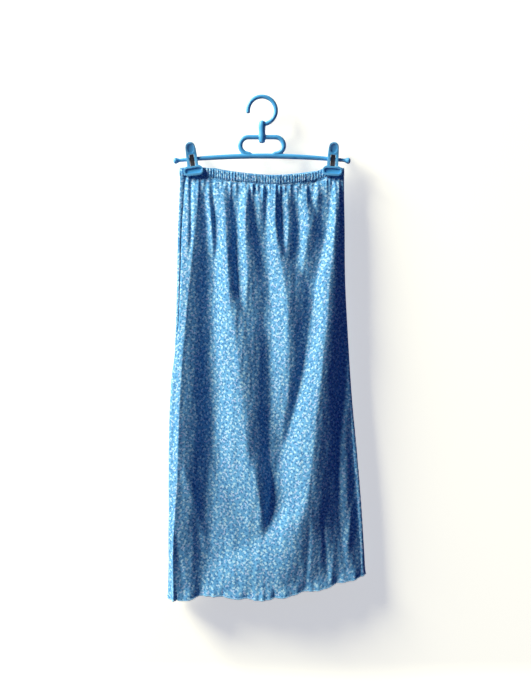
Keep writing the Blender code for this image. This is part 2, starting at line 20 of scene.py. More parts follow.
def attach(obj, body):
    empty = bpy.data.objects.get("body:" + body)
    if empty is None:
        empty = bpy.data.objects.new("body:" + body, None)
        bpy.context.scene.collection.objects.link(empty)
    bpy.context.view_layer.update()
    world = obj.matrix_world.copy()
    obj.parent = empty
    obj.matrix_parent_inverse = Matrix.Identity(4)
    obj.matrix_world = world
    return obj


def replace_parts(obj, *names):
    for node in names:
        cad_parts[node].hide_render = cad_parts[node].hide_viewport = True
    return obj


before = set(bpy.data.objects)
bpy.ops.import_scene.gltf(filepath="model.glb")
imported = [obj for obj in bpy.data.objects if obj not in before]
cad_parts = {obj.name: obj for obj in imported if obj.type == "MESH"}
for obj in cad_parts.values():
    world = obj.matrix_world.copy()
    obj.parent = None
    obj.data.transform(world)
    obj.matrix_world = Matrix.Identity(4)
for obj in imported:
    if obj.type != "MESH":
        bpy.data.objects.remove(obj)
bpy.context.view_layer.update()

Array = np.ndarray
Colour = tuple[float, float, float]
Place = tuple[float, float, float]
Table = tuple[tuple[float, ...], ...]
Material = bpy.types.Material
Mesh = bpy.types.Mesh
Node = bpy.types.Node
Object = bpy.types.Object
Pair = tuple[float, float]
Socket = bpy.types.NodeSocket
Sockets = bpy.types.bpy_prop_collection
Tree = bpy.types.NodeTree

LOG = logging.getLogger("maxi_skirt")
BODY = "root"
MM = 0.001
CLOTH_MAP = "ClothMetres"
GOLDEN = 0.6180339887
WHITE = (1.0, 1.0, 1.0)
RIGHT, DEEP, UP = np.eye(3)


def ease(share: Array) -> Array:
    """Rises from 0 to 1 with level ends as the share does, and stays level beyond."""
    share = np.clip(share, 0, 1)
    return share * share * (3 - 2 * share)


def read_table(table: Table, place: Array) -> Array:
    """Follows the smooth curves through a table's columns, level past its two ends.

    Args:
        table: Rows that start with their own place, rising, and go on with their values.
        place: Where the curves are read.

    Returns:
        For each column of values, its curve there.
    """
    rows = np.array(table, float)
    at, values = rows[:, 0], rows[:, 1:].T
    slopes = np.gradient(values, at, axis=1)
    place = np.clip(place, at[0], at[-1])
    row = np.clip(np.searchsorted(at, place, side="right") - 1, 0, len(at) - 2)
    span = at[row + 1] - at[row]
    part = (place - at[row]) / span
    return (
        values[:, row] * (1 + 2 * part) * (1 - part) ** 2
        + slopes[:, row] * span * part * (1 - part) ** 2
        + values[:, row + 1] * part**2 * (3 - 2 * part)
        - slopes[:, row + 1] * span * part**2 * (1 - part)
    )


def uneven(index: Array, salt: float) -> Array:
    """Gives each number in a row its own fixed value between 0 and 1, other ones for each salt."""
    return np.mod((np.asarray(index, float) + 1) * GOLDEN * (1 + 0.37 * salt) + 0.713 * salt, 1.0)


def vary(chance: Array, least: float, more: float) -> Array:
    """Turns a chance between 0 and 1 into a size, from the least one to so much more."""
    return least + more * chance


def unit(vectors: Array) -> Array:
    """Gives vectors the length 1."""
    return vectors / np.linalg.norm(vectors, axis=-1, keepdims=True)


def lengths_along(path: Array) -> Array:
    """Adds up the lengths along a path, from 0 at its first point."""
    return np.append(0, np.cumsum(np.linalg.norm(np.diff(path, axis=0), axis=1)))


def upright(x: Array, z: Array) -> Array:
    """Gives points in the upright plane through the hanger."""
    return np.stack([x, np.zeros_like(x), z], axis=1)


class MaterialSlot(Enum):
    """The record's material slots."""

    CLOTH = "cloth"
    PLASTIC = "plastic"
    SPRING = "spring"


class Side(Enum):
    """The two sides of the flattened tube."""

    FRONT = "front"
    BACK = "back"


class Face(Enum):
    """The two faces of the printed knit."""

    OUTSIDE = "outside"
    INSIDE = "inside"


class NodeDesk:
    """Places and links shader nodes in one tree."""

    def __init__(self, tree: Tree) -> None:
        """Keeps the tree and sets out the four rules of arithmetic.

        Args:
            tree: The tree.
        """
        self.tree = tree
        words = ("ADD", "SUBTRACT", "MULTIPLY", "DIVIDE")
        self.plus, self.minus, self.times, self.over = (partial(self.math, word) for word in words)

    def feed(self, socket: Socket, value: object) -> None:
        """Links a socket to another one, or sets its plain value.

        Args:
            socket: The input.
            value: An output socket, a number or a colour.
        """
        if isinstance(value, Socket):
            self.tree.links.new(value, socket)
        elif socket.type == "RGBA" and len(value) == 3:
            socket.default_value = (*value, 1)
        else:
            socket.default_value = value

    def node(self, kind: str, values: dict[str | int, object] | None = None, **settings: object) -> Node:
        """Adds a shader node.

        Args:
            kind: The end of its type name.
            values: What its inputs get, by name or number.
            settings: Its own settings, by name.

        Returns:
            The node.
        """
        made = self.tree.nodes.new(f"ShaderNode{kind}")
        for name, value in settings.items():
            setattr(made, name, value)
        for name, value in (values or {}).items():
            self.feed(made.inputs[name], value)
        return made

    def math(self, operation: str, first: object, second: object = 0.0) -> Socket:
        """Works out one step of arithmetic with numbers or sockets."""
        return self.node("Math", {0: first, 1: second}, operation=operation).outputs[0]

    def scale(self, place: Socket, unit_length: object) -> Socket:
        """Measures a place in units of a length."""
        scaled = self.node("VectorMath", {0: place, "Scale": self.over(1.0, unit_length)}, operation="SCALE")
        return scaled.outputs["Vector"]

    def remap(self, value: Socket, old: Pair, new: Pair = (0.0, 1.0)) -> Socket:
        """Turns one range into another with smooth ends."""
        values = dict(zip(("Value", "From Min", "From Max", "To Min", "To Max"), (value, *old, *new)))
        return self.node("MapRange", values, interpolation_type="SMOOTHSTEP").outputs[0]

    def vary(self, chance: Socket, least: float, more: float) -> Socket:
        """Turns a chance between 0 and 1 into a size, from the least one to so much more."""
        return self.plus(least, self.times(chance, more))

    def blend(self, share: object, first: object, second: object) -> Socket:
        """Mixes two colours by how much of the second shows."""
        return self.node("Mix", {"Factor": share, 6: first, 7: second}, data_type="RGBA").outputs[2]

    def noise(self, place: Socket, detail: float) -> Socket:
        """Adds soft irregular noise between 0 and 1, with so many finer layers."""
        return self.node("TexNoise", {"Vector": place, "Scale": 1.0, "Detail": detail}).outputs["Fac"]

    def group(self, tree: Tree, **values: object) -> Sockets:
        """Places a node group with its own values, by name with underscores for spaces."""
        return self.node("Group", {name.replace("_", " "): given for name, given in values.items()},
                         node_tree=tree).outputs


class SurfaceEffects:
    """The node groups that several finishes share, each built once."""

    spin_centre: Place = (37.0, -61.0, 0.0)
    scatter: float = 0.8
    sizes: Pair = (0.8, 0.4)
    openings: Pair = (0.65, 0.7)
    foot_share: float = 0.34
    least_taper: float = 0.001
    petal_edge: Pair = (0.75, 1.2)
    loop_bow: float = 1.6
    loop_rate: float = 1.25
    loop_height: float = 0.35
    patch_edge: Pair = (0.32, 0.68)
    drawn: Place = (0.05, 0.05, 0.4)
    scuff_edge: Pair = (0.55, 0.75)
    # Pointiness range of the sharp edges that get a painted highlight.
    highlight_edge: Pair = (0.505, 0.56)

    def __init__(self) -> None:
        """Builds every group."""
        self.petals, self.knit = self._petals(), self._knit()
        self.mottle, self.grain = self._mottle(), self._grain()

    @staticmethod
    def _start(
        name: str, inputs: tuple[str, ...], outputs: tuple[str, ...]
    ) -> tuple[NodeDesk, Sockets, Sockets]:
        """Starts a group with named sockets.

        Args:
            name: The group's name.
            inputs: Its inputs: a place first, and then numbers.
            outputs: Its outputs, all of them numbers.

        Returns:
            The group's desk, its inputs to read and its outputs to feed.
        """
        tree = bpy.data.node_groups.new(name, "ShaderNodeTree")
        for number, label in enumerate(inputs):
            kind = "NodeSocketFloat" if number else "NodeSocketVector"
            tree.interface.new_socket(label, in_out="INPUT", socket_type=kind)
        for label in outputs:
            tree.interface.new_socket(label, in_out="OUTPUT", socket_type="NodeSocketFloat")
        given, made = (tree.nodes.new(f"NodeGroup{end}") for end in ("Input", "Output"))
        return NodeDesk(tree), given.outputs, made.inputs

    def _petals(self) -> Tree:
        """Builds a scatter of petals in open pairs, each pair turned its own way.

        Returns:
            The group, with a mask of the petals and a tint for each pair.
        """
        names = ("Cloth Metres", "Repeat", "Length", "Width", "Opening", "Turn")
        desk, given, made = self._start("PetalPairs", names, ("Petals", "Tint"))
        spun = {"Vector": desk.scale(given["Cloth Metres"], given["Repeat"]), "Center": self.spin_centre,
                "Angle": given["Turn"]}
        place = desk.node("VectorRotate", spun, rotation_type="Z_AXIS").outputs[0]
        cells = desk.node("TexVoronoi", {"Vector": place, "Scale": 1.0, "Randomness": self.scatter},
                          voronoi_dimensions="2D", feature="F1").outputs
        chance = desk.node("SeparateColor", {"Color": cells["Color"]}).outputs
        centred = desk.node("VectorMath", {0: place, 1: cells["Position"]}, operation="SUBTRACT").outputs[0]
        turned = {"Vector": centred, "Angle": desk.times(chance["Red"], 2 * math.pi)}
        upright_pair = desk.node("VectorRotate", turned, rotation_type="Z_AXIS").outputs[0]
        local = desk.node("SeparateXYZ", {0: upright_pair}).outputs
        size = desk.over(given["Repeat"], desk.vary(chance["Blue"], *self.sizes))
        aside = desk.times(desk.math("ABSOLUTE", local["X"]), size)
        up = desk.plus(desk.times(local["Y"], size), desk.times(given["Length"], self.foot_share))
        opening = desk.times(given["Opening"], desk.vary(chance["Green"], *self.openings))
        sine, cosine = desk.math("SINE", opening), desk.math("COSINE", opening)
        along = desk.plus(desk.times(aside, sine), desk.times(up, cosine))
        across = desk.minus(desk.times(aside, cosine), desk.times(up, sine))
        half = desk.times(given["Length"], 0.5)
        run = desk.over(desk.minus(along, half), half)
        spread = desk.over(desk.math("ABSOLUTE", across), desk.times(given["Width"], 0.5))
        taper = desk.math("MAXIMUM", desk.minus(1.0, desk.times(run, run)), self.least_taper)
        desk.feed(made["Petals"], desk.remap(desk.over(spread, taper), self.petal_edge, (1.0, 0.0)))
        desk.feed(made["Tint"], chance["Green"])
        return desk.tree

    def _knit(self) -> Tree:
        """Builds the fine ribs and loops of a jersey knit.

        Returns:
            The group, with the height of the loops.
        """
        desk, given, made = self._start("FineKnit", ("Cloth Metres", "Pitch"), ("Height",))
        place = desk.node("SeparateXYZ", {0: given["Cloth Metres"]}).outputs
        turns = desk.over(2 * math.pi, given["Pitch"])
        wale = desk.times(place["X"], turns)
        bow = desk.times(desk.math("ABSOLUTE", desk.math("SINE", wale)), self.loop_bow)
        course = desk.plus(desk.times(desk.times(place["Y"], turns), self.loop_rate), bow)
        loops = desk.times(desk.math("SINE", course), self.loop_height)
        ribs = desk.math("ABSOLUTE", desk.math("SINE", desk.times(wale, 0.5)))
        desk.feed(made["Height"], desk.plus(ribs, loops))
        return desk.tree

    def _mottle(self) -> Tree:
        """Builds slow uneven patches, as dye and handling leave.

        Returns:
            The group, with a mask of the patches.
        """
        desk, given, made = self._start("SoftMottle", ("Place", "Patch"), ("Patches",))
        patches = desk.noise(desk.scale(given["Place"], given["Patch"]), 3.0)
        desk.feed(made["Patches"], desk.remap(patches, self.patch_edge))
        return desk.tree

    def _grain(self) -> Tree:
        """Builds the faint grain, the scuffs and a painted highlight on the sharp edges of a moulding or a
        strip.

        Returns:
            The group, with a height, a mask of the sharp edges that get a painted highlight and one of
            scuffs.
        """
        desk, given, made = self._start("MouldedGrain", ("Place", "Grain"), ("Height", "Edge Highlight", "Scuffs"))
        scaled = desk.scale(given["Place"], given["Grain"])
        drawn = desk.node("VectorMath", {0: scaled, 1: self.drawn}, operation="MULTIPLY").outputs[0]
        edges = desk.node("NewGeometry").outputs["Pointiness"]
        desk.feed(made["Height"], desk.noise(scaled, 4.0))
        desk.feed(made["Scuffs"], desk.remap(desk.noise(drawn, 5.0), self.scuff_edge))
        # Painted highlight: a mask of the sharp, pointy edges, which the plastic paints paler.
        desk.feed(made["Edge Highlight"], desk.remap(edges, self.highlight_edge))
        return desk.tree


class Surface:
    """A new material, with a desk for its nodes and its Principled shader."""

    def __init__(self, name: str) -> None:
        """Makes the material.

        Args:
            name: Its name.
        """
        self.material = bpy.data.materials.new(name)
        self.material.use_nodes = True
        self.desk = NodeDesk(self.material.node_tree)
        self.shader = self.material.node_tree.nodes["Principled BSDF"]

    def dress(
        self, values: dict[str, object], height: Socket | None = None, distance: float = 0.0
    ) -> Material:
        """Feeds the shader, and raises its surface a little.

        Args:
            values: What the shader's inputs get, by name.
            height: The fine relief's height, or none.
            distance: How far a height of 1 stands out.

        Returns:
            The material.
        """
        if height is not None:
            bump = self.desk.node("Bump", {"Height": height, "Strength": 1.0, "Distance": distance})
            values = {**values, "Normal": bump.outputs[0]}
        for name, value in values.items():
            self.desk.feed(self.shader.inputs[name], value)
        return self.material

    def cloth_place(self) -> Socket:
        """Gives the place on the flat cloth, in metres."""
        return self.desk.node("UVMap", uv_map=CLOTH_MAP).outputs["UV"]

    def object_place(self) -> Socket:
        """Gives the place in the object."""
        return self.desk.node("TexCoord").outputs["Object"]


@dataclass(frozen=True)
class PetalScatter:
    """One scatter of petal pairs: its spacing, its turn, and its petals' sizes and opening."""

    repeat: float
    turn: float
    length: float
    width: float
    opening: float = 0.0

    def place(self, desk: NodeDesk, petals: Tree, flat: Socket) -> Sockets:
        """Lays the scatter on the flat cloth."""
        return desk.group(petals, Cloth_Metres=flat, Repeat=self.repeat * MM, Turn=self.turn,
                          Length=self.length * MM, Width=self.width * MM, Opening=math.radians(self.opening))


@dataclass(frozen=True)
class PrintedKnit:
    """Blue jersey with a scatter of small pale petals and a few deeper leaves."""

    ground: Colour = (0.150, 0.435, 0.760)
    deep_ground: Colour = (0.085, 0.315, 0.670)
    petal: Colour = (0.450, 0.740, 0.930)
    cool_petal: Colour = (0.440, 0.610, 0.920)
    leaf: Colour = (0.018, 0.110, 0.380)
    pairs: PetalScatter = PetalScatter(9.4, 0.55, 5.0, 3.1, 38)
    singles: PetalScatter = PetalScatter(9.776, 1.27, 4.0, 2.48)
    leaves: PetalScatter = PetalScatter(6.768, 2.1, 4.5, 2.945, 15.2)
    single_strength: float = 0.45
    leaf_strength: float = 0.6
    inside_strength: float = 0.35
    patch: float = 35 * MM
    patch_strength: float = 0.45
    knit_pitch: float = 0.9 * MM
    knit_height: float = 0.03 * MM
    roughness: float = 0.82
    shine: float = 0.12
    sheen: float = 0.08
    sheen_roughness: float = 0.45
    sheen_tint: Colour = (0.55, 0.75, 1.0)

    def surface(self, face: Face, effects: SurfaceEffects) -> Material:
        """Makes the knit's material for one of its faces.

        Args:
            face: The printed outside, or the inside where the print shows through faintly.
            effects: The shared node groups.

        Returns:
            The material.
        """
        made = Surface(f"printed_knit_{face.value}")
        desk, flat = made.desk, made.cloth_place()
        strength = 1.0 if face is Face.OUTSIDE else self.inside_strength
        patches = desk.group(effects.mottle, Place=flat, Patch=self.patch)["Patches"]
        leaves, pairs, singles = (
            scatter.place(desk, effects.petals, flat) for scatter in (self.leaves, self.pairs, self.singles)
        )
        pale = desk.math("MAXIMUM", pairs["Petals"], desk.times(singles["Petals"], self.single_strength))
        ground = desk.blend(desk.times(patches, self.patch_strength), self.ground, self.deep_ground)
        shaded = desk.blend(desk.times(leaves["Petals"], self.leaf_strength * strength), ground, self.leaf)
        petal = desk.blend(desk.math("POWER", pairs["Tint"], 2.0), self.petal, self.cool_petal)
        values = {"Base Color": desk.blend(desk.times(pale, strength), shaded, petal),
                  "Roughness": self.roughness, "Specular IOR Level": self.shine, "Sheen Weight": self.sheen,
                  "Sheen Roughness": self.sheen_roughness, "Sheen Tint": self.sheen_tint}
        knit = desk.group(effects.knit, Cloth_Metres=flat, Pitch=self.knit_pitch)
        return made.dress(values, knit["Height"], self.knit_height)


@dataclass(frozen=True)
class MouldedPlastic:
    """Satin sky-blue plastic with a faint grain, a painted highlight on its sharp edges and a paler painted
    sheen where it is seen edge-on.
    """

    colour: Colour = (0.072, 0.410, 0.830)
    deep: Colour = (0.046, 0.310, 0.690)
    # Paler blue painted on sharp edges as a highlight.
    edge_highlight: Colour = (0.330, 0.700, 0.960)
    # Paler blue painted as a sheen where the plastic is seen edge-on.
    rim: Colour = (0.130, 0.470, 0.840)
    patch: float = 20 * MM
    patch_strength: float = 0.35
    edge_highlight_strength: float = 0.85
    painted_sheen_reach: float = 0.35
    grain: float = 0.5 * MM
    grain_height: float = 0.02 * MM
    roughness: float = 0.38
    scuffed: float = 0.58

    def surface(self, effects: SurfaceEffects) -> Material:
        """Makes the plastic's material.

        Args:
            effects: The shared node groups.

        Returns:
            The material.
        """
        made = Surface("moulded_plastic")
        desk, place = made.desk, made.object_place()
        grain = desk.group(effects.grain, Place=place, Grain=self.grain)
        patches = desk.group(effects.mottle, Place=place, Patch=self.patch)["Patches"]
        body = desk.blend(desk.times(patches, self.patch_strength), self.colour, self.deep)
        # Painted highlight: the sharp edges are mixed towards a paler blue.
        highlighted = desk.blend(desk.times(grain["Edge Highlight"], self.edge_highlight_strength), body, self.edge_highlight)
        # Painted sheen: faces seen edge-on are mixed towards the paler rim blue.
        turned = desk.node("LayerWeight", {"Blend": self.painted_sheen_reach}).outputs["Facing"]
        roughness = desk.remap(grain["Scuffs"], (0.0, 1.0), (self.roughness, self.scuffed))
        values = {"Base Color": desk.blend(turned, highlighted, self.rim), "Roughness": roughness}
        return made.dress(values, grain["Height"], self.grain_height)


@dataclass(frozen=True)
class SpringSteel:
    """Dull dark spring strip with fine rolling marks."""

    colour: Colour = (0.10, 0.09, 0.10)
    worn: Colour = (0.26, 0.25, 0.25)
    grain: float = 0.3 * MM
    grain_height: float = 0.01 * MM
    roughness: float = 0.38
    rolled: float = 0.28

    def surface(self, effects: SurfaceEffects) -> Material:
        """Makes the strip's material.

        Args:
            effects: The shared node groups.

        Returns:
            The material.
        """
        made = Surface("spring_steel")
        grain = made.desk.group(effects.grain, Place=made.object_place(), Grain=self.grain)
        values = {"Base Color": made.desk.blend(grain["Scuffs"], self.colour, self.worn), "Metallic": 1.0,
                  "Roughness": made.desk.remap(grain["Scuffs"], (0.0, 1.0), (self.roughness, self.rolled))}
        return made.dress(values, grain["Height"], self.grain_height)


@dataclass(frozen=True)
class SewingThread:
    """Soft thread in a lighter and a darker blue."""

    name: str
    colour: Colour
    shade: Colour
    patch: float = 12 * MM
    patch_strength: float = 0.6
    strand: float = 0.5 * MM
    strand_height: float = 0.05 * MM
    roughness: float = 0.75
    sheen: float = 0.3

    def surface(self, effects: SurfaceEffects) -> Material:
        """Makes the thread's material.

        Args:
            effects: The shared node groups.

        Returns:
            The material.
        """
        made = Surface(self.name)
        desk, flat = made.desk, made.cloth_place()
        strands = desk.group(effects.knit, Cloth_Metres=flat, Pitch=self.strand)["Height"]
        patches = desk.group(effects.mottle, Place=flat, Patch=self.patch)["Patches"]
        values = {"Base Color": desk.blend(desk.times(patches, self.patch_strength), self.colour, self.shade),
                  "Roughness": self.roughness, "Sheen Weight": self.sheen}
        return made.dress(values, strands, self.strand_height)


@dataclass(frozen=True)
class BackdropPaint:
    """Plain pale paint that lets light and a camera through from behind."""

    colour: Colour = (0.80, 0.785, 0.67)
    glow: float = 0.57

    def surface(self) -> Material:
        """Makes the paint's material, its back face and its shadow left out.

        Returns:
            The material.
        """
        made = Surface("pale_paint")
        desk = made.desk
        made.dress({"Base Color": self.colour, "Roughness": 1.0, "Specular IOR Level": 0.0,
                    "Emission Color": WHITE, "Emission Strength": self.glow})
        behind = desk.node("NewGeometry").outputs["Backfacing"]
        hidden = desk.math("MAXIMUM", behind, desk.node("LightPath").outputs["Is Shadow Ray"])
        mix = desk.node("MixShader", {"Fac": hidden, 1: made.shader.outputs["BSDF"],
                                      2: desk.node("BsdfTransparent").outputs["BSDF"]})
        desk.feed(desk.tree.nodes["Material Output"].inputs["Surface"], mix.outputs["Shader"])
        return made.material


@dataclass(frozen=True)
class Wardrobe:
    """Every finish's material, made once."""

    outside: Material
    inside: Material
    plastic: Material
    steel: Material
    hem_thread: Material
    seam_thread: Material

    @classmethod
    def stitched(cls) -> "Wardrobe":
        """Makes all the finishes.

        Returns:
            The wardrobe.
        """
        effects, knit = SurfaceEffects(), PrintedKnit()
        hem = SewingThread("hem_thread", (0.300, 0.600, 0.850), (0.090, 0.320, 0.640))
        seam = SewingThread("seam_thread", (0.10, 0.34, 0.62), (0.04, 0.18, 0.42))
        return cls(knit.surface(Face.OUTSIDE, effects), knit.surface(Face.INSIDE, effects),
                   MouldedPlastic().surface(effects), SpringSteel().surface(effects),
                   hem.surface(effects), seam.surface(effects))


def put(name: str, data: bpy.types.ID) -> Object:
    """Puts a mesh, a light or a camera on the scene.

    Args:
        name: The object's name.
        data: What it shows.

    Returns:
        The object.
    """
    made = bpy.data.objects.new(name, data)
    bpy.context.scene.collection.objects.link(made)
    return made


def add_piece(name: str, mesh: Mesh, surfaces: list[Material]) -> Object:
    """Links a mesh as a piece of the object that rides on its one body.

    Args:
        name: The piece's name.
        mesh: Its mesh.
        surfaces: Its materials, in the order of its faces' numbers.

    Returns:
        The object.
    """
    mesh.shade_smooth()
    for surface in surfaces:
        mesh.materials.append(surface)
    piece = put(name, mesh)
    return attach(piece, BODY)


def corners(grid: Array) -> Array:
    """Gives the values at the four corners of each cell of a grid, cell by cell."""
    cells = np.stack([grid[:-1, :-1], grid[1:, :-1], grid[1:, 1:], grid[:-1, 1:]], axis=2)
    return cells.reshape(-1, 4, grid.shape[-1])


def wall_mesh(name: str, walls: tuple[Array, Array], flats: tuple[Array, Array], wraps: bool) -> Mesh:
    """Closes a thin wall between two grids, their rows running down and their columns round.

    Args:
        name: The mesh's name.
        walls: The outer grid's points and the inner one's.
        flats: Where each lies on the flat cloth, with one more column if the wall wraps round.
        wraps: Whether it does.

    Returns:
        The mesh with its flat-cloth map, its inner faces numbered 1 and the others 0.
    """
    columns = walls[0].shape[1]
    points = np.concatenate([wall.reshape(-1, 3) for wall in walls])
    numbers = np.split(np.arange(len(points)).reshape(-1, columns), [len(walls[0])])
    if wraps:
        numbers = [np.concatenate([grid, grid[:, :1]], axis=1) for grid in numbers]
    out, inn = (np.dstack(pair) for pair in zip(numbers, flats))
    rims = [np.stack([inn[0], out[0]]), np.stack([out[-1], inn[-1]])]
    if not wraps:
        rims += [np.stack([inn[:, -1], out[:, -1]]), np.stack([out[:, 0], inn[:, 0]])]
    patches = [corners(out), corners(inn)[:, ::-1], *(corners(rim) for rim in rims)]
    faces = np.concatenate(patches)
    made = bpy.data.meshes.new(name)
    made.from_pydata(points.tolist(), [], faces[..., 0].astype(int).tolist())
    made.uv_layers.new(name=CLOTH_MAP).data.foreach_set("uv", faces[..., 1:].ravel())
    inner = np.repeat([0, 1] + [0] * len(rims), [len(patch) for patch in patches])
    made.polygons.foreach_set("material_index", inner.astype(np.int32))
    made.update()
    return made


def ring_mesh(name: str, rings: Array, flat: Array | None = None) -> Mesh:
    """Closes a solid through rings with the same number of points.

    Args:
        name: The mesh's name.
        rings: The rings' points.
        flat: Where they lie on the flat cloth, with one more for each ring, or none.

    Returns:
        The mesh, its ends capped and its faces turned outward.
    """
    sides = rings.shape[1]
    number = np.arange(len(rings) * sides).reshape(-1, sides)
    faces = corners(np.concatenate([number, number[:, :1]], axis=1)[..., None])[..., 0].tolist()
    made = bpy.data.meshes.new(name)
    made.from_pydata(rings.reshape(-1, 3).tolist(), [], faces + [number[0].tolist(), number[-1].tolist()])
    if flat is not None:
        ends = np.zeros(2 * 2 * sides)
        made.uv_layers.new(name=CLOTH_MAP).data.foreach_set("uv", np.append(corners(flat), ends))
    shape = bmesh.new()
    shape.from_mesh(made)
    bmesh.ops.recalc_face_normals(shape, faces=shape.faces)
    shape.to_mesh(made)
    shape.free()
    return made


def oval_rings(path: Array, wide: Array, deep: Array, ways: tuple[Array, Array], sides: int) -> Array:
    """Sets an oval ring round each point of a path.

    Args:
        path: The centres.
        wide: The half sizes along the first way.
        deep: The half sizes along the second one.
        ways: Both directions, each for all the rings or for each of them.
        sides: How many sides the ovals have.

    Returns:
        The rings' points.
    """
    turns = np.linspace(0, 2 * math.pi, sides, endpoint=False)[:, None]
    first, second = (half[:, None] * way for half, way in zip((wide, deep), ways))
    return path[:, None] + np.cos(turns) * first[:, None] + np.sin(turns) * second[:, None]


def thread_mesh(name: str, path: Array, radii: Array, sides: int) -> Mesh:
    """Sweeps a round thread along an open path that runs mostly level.

    Args:
        name: The mesh's name.
        path: The centres.
        radii: The radius at each.
        sides: How many sides the thread has.

    Returns:
        The mesh, with its flat map along and round the thread.
    """
    along = unit(np.gradient(path, axis=0))
    aside = unit(np.cross(along, UP))
    rings = oval_rings(path, radii, radii, (aside, np.cross(aside, along)), sides)
    girth = 2 * math.pi * float(np.mean(radii)) * np.arange(sides + 1) / sides
    flat = np.stack(np.broadcast_arrays(lengths_along(path)[:, None], girth), axis=-1)
    return ring_mesh(name, rings, flat)


class TubeSection:
    """The closed middle line of the tube's walls at one share of the drop.

    It starts at the left side edge and runs across the front, then back across the back.
    """

    def __init__(self, form: "TubeForm", share: float) -> None:
        """Works out the line.

        Args:
            form: The tube's form.
            share: The share of the drop.
        """
        *sizes, pinch = read_table(form.plans, share)
        left, right, deepest, radius, self.seam_turn = np.array(sizes) * MM
        self.share = share
        self.depths = (radius, deepest)
        left, right = left + radius, right - radius
        quarter = np.linspace(0, math.pi / 2, form.steps // 8, endpoint=False)
        across = np.linspace(left, right, form.steps, endpoint=False)
        from_end = np.minimum(across - left, right - across)
        free = ease(from_end / form.end_reach) * (1 - pinch * form.grip(across))
        depth = radius + (deepest - radius) * free
        x = np.concatenate([left - radius * np.cos(quarter), across, right + radius * np.sin(quarter)])
        y = np.concatenate([-radius * np.sin(quarter), -depth, -radius * np.cos(quarter)])
        steps = len(x)
        x, y = np.append(x, left + right - x), np.append(y, -y)
        back = slice(steps + len(quarter), steps + len(quarter) + len(across))
        y[back] = np.interp(x[back], across, depth)
        line = np.tile([x, y], 2)
        self.length = np.append(0, np.cumsum(np.hypot(*(np.roll(line, -1, axis=1) - line)))[:-1])
        along = np.roll(line, -1, axis=1) - np.roll(line, 1, axis=1)
        turned = np.cumsum(np.abs(np.diff(np.unwrap(np.arctan2(along[1], along[0])))))
        self.spacing = self.length + form.turn_weight * np.append(0, turned)
        self.lines = (*line, *(np.stack([along[1], -along[0]]) / np.hypot(*along)))
        self.front_length, self.whole_length = self.length[[steps, 2 * steps]]

    def at(self, lengths: Array) -> tuple[Array, Array, Array]:
        """Reads the line.

        Args:
            lengths: Lengths along it.

        Returns:
            The points and their outward normals, both level, and 1 on the front to -1 on the back.
        """
        x, y, normal_x, normal_y = (np.interp(lengths, self.length, line) for line in self.lines)
        level = np.zeros_like(x)
        spot, normal = np.stack([x, y, level], axis=1), np.stack([normal_x, normal_y, level], axis=1)
        return spot, normal, np.clip(-normal_y, -1, 1)

    def fullness(self, y: Array) -> Array:
        """Says how far the tube has reached its full depth at places along Y, from 0 to 1."""
        shallow, deep = self.depths
        return np.clip((np.abs(y) - shallow) / (deep - shallow), 0, 1)

    def columns(self, start: float, end: float, count: int) -> Array:
        """Spaces columns evenly between two lengths, closer where the line turns."""
        first, last = np.interp([start, end], self.length, self.spacing)
        return np.interp(np.linspace(first, last, count), self.spacing, self.length)


@dataclass(frozen=True)
class TubeForm:
    """The flattened tube that every piece of cloth follows.

    Its plans hold the share of the drop, the left and right ends, half the depth, the ends'
    radius, the seams' turn and how far the jaws pinch it. Its edges hold places across and
    their heights.
    """

    plans: Table = (
        (0.00, -168, 168, 8.5, 1.9, 11, 1.00), (0.04, -169, 168, 9.5, 2.6, 11, 0.80),
        (0.12, -172, 169, 11.0, 4.5, 11, 0.35), (0.25, -174, 170, 13.0, 6.0, 11, 0.05),
        (0.40, -178, 176, 14.0, 6.5, 9, 0.00), (0.55, -185, 184, 15.0, 7.0, 4, 0.00),
        (0.70, -189, 196, 16.0, 7.0, 2, 0.00), (0.85, -191, 206, 17.0, 7.5, 1, 0.00),
        (1.00, -192, 211, 18.0, 8.0, 1, 0.00),
    )
    top_edge: Table = (
        (-168, -142.0), (-140, -140.5), (-116, -142.0), (-80, -148.5), (-40, -153.8), (20, -158.5),
        (70, -156.0), (108, -150.5), (124, -144.5), (144, -141.0), (168, -142.5),
    )
    hem_edge: Table = (
        (-193, -1023), (-150, -1022), (-120, -1015), (-60, -1019), (25, -1020), (78, -1008), (120, -1001),
        (170, -987), (212, -977),
    )
    end_reach: float = 45 * MM
    steps: int = 1200
    turn_weight: float = 7 * MM
    back_top_lift: float = 3 * MM
    back_hem_lift: float = 5 * MM
    casing_height: float = 18 * MM
    seam_gap: float = 0.3 * MM
    jaw_places: Pair = (-140.2 * MM, 143.9 * MM)
    jaw_flat: float = 25 * MM
    grip_reach: float = 110 * MM
    lift_reach: float = 46 * MM

    def grip(self, across: Array, reach: float | None = None) -> Array:
        """Says how far the jaws hold the cloth flat.

        Args:
            across: Places across.
            reach: How far in from the jaws they are felt, if not as far as they reach.

        Returns:
            1 at the jaws and outside them, falling to 0 in the free middle.
        """
        reach = reach or self.grip_reach
        inward = np.minimum(across - self.jaw_places[0], self.jaw_places[1] - across)
        return ease((reach - inward) / (reach - self.jaw_flat))

    def waist_seam(self, across: Array, facing: Array) -> Array:
        """Gives the height of the seam under the casing, a little higher at the back."""
        lift = self.back_top_lift * (1 - facing) / 2 * (1 - self.grip(across, self.lift_reach))
        return read_table(self.top_edge, across / MM)[0] * MM + lift - self.casing_height

    def hem(self, across: Array, facing: Array) -> Array:
        """Gives the height of the hem before its waves, a little higher at the back."""
        return read_table(self.hem_edge, across / MM)[0] * MM + self.back_hem_lift * (1 - facing) / 2


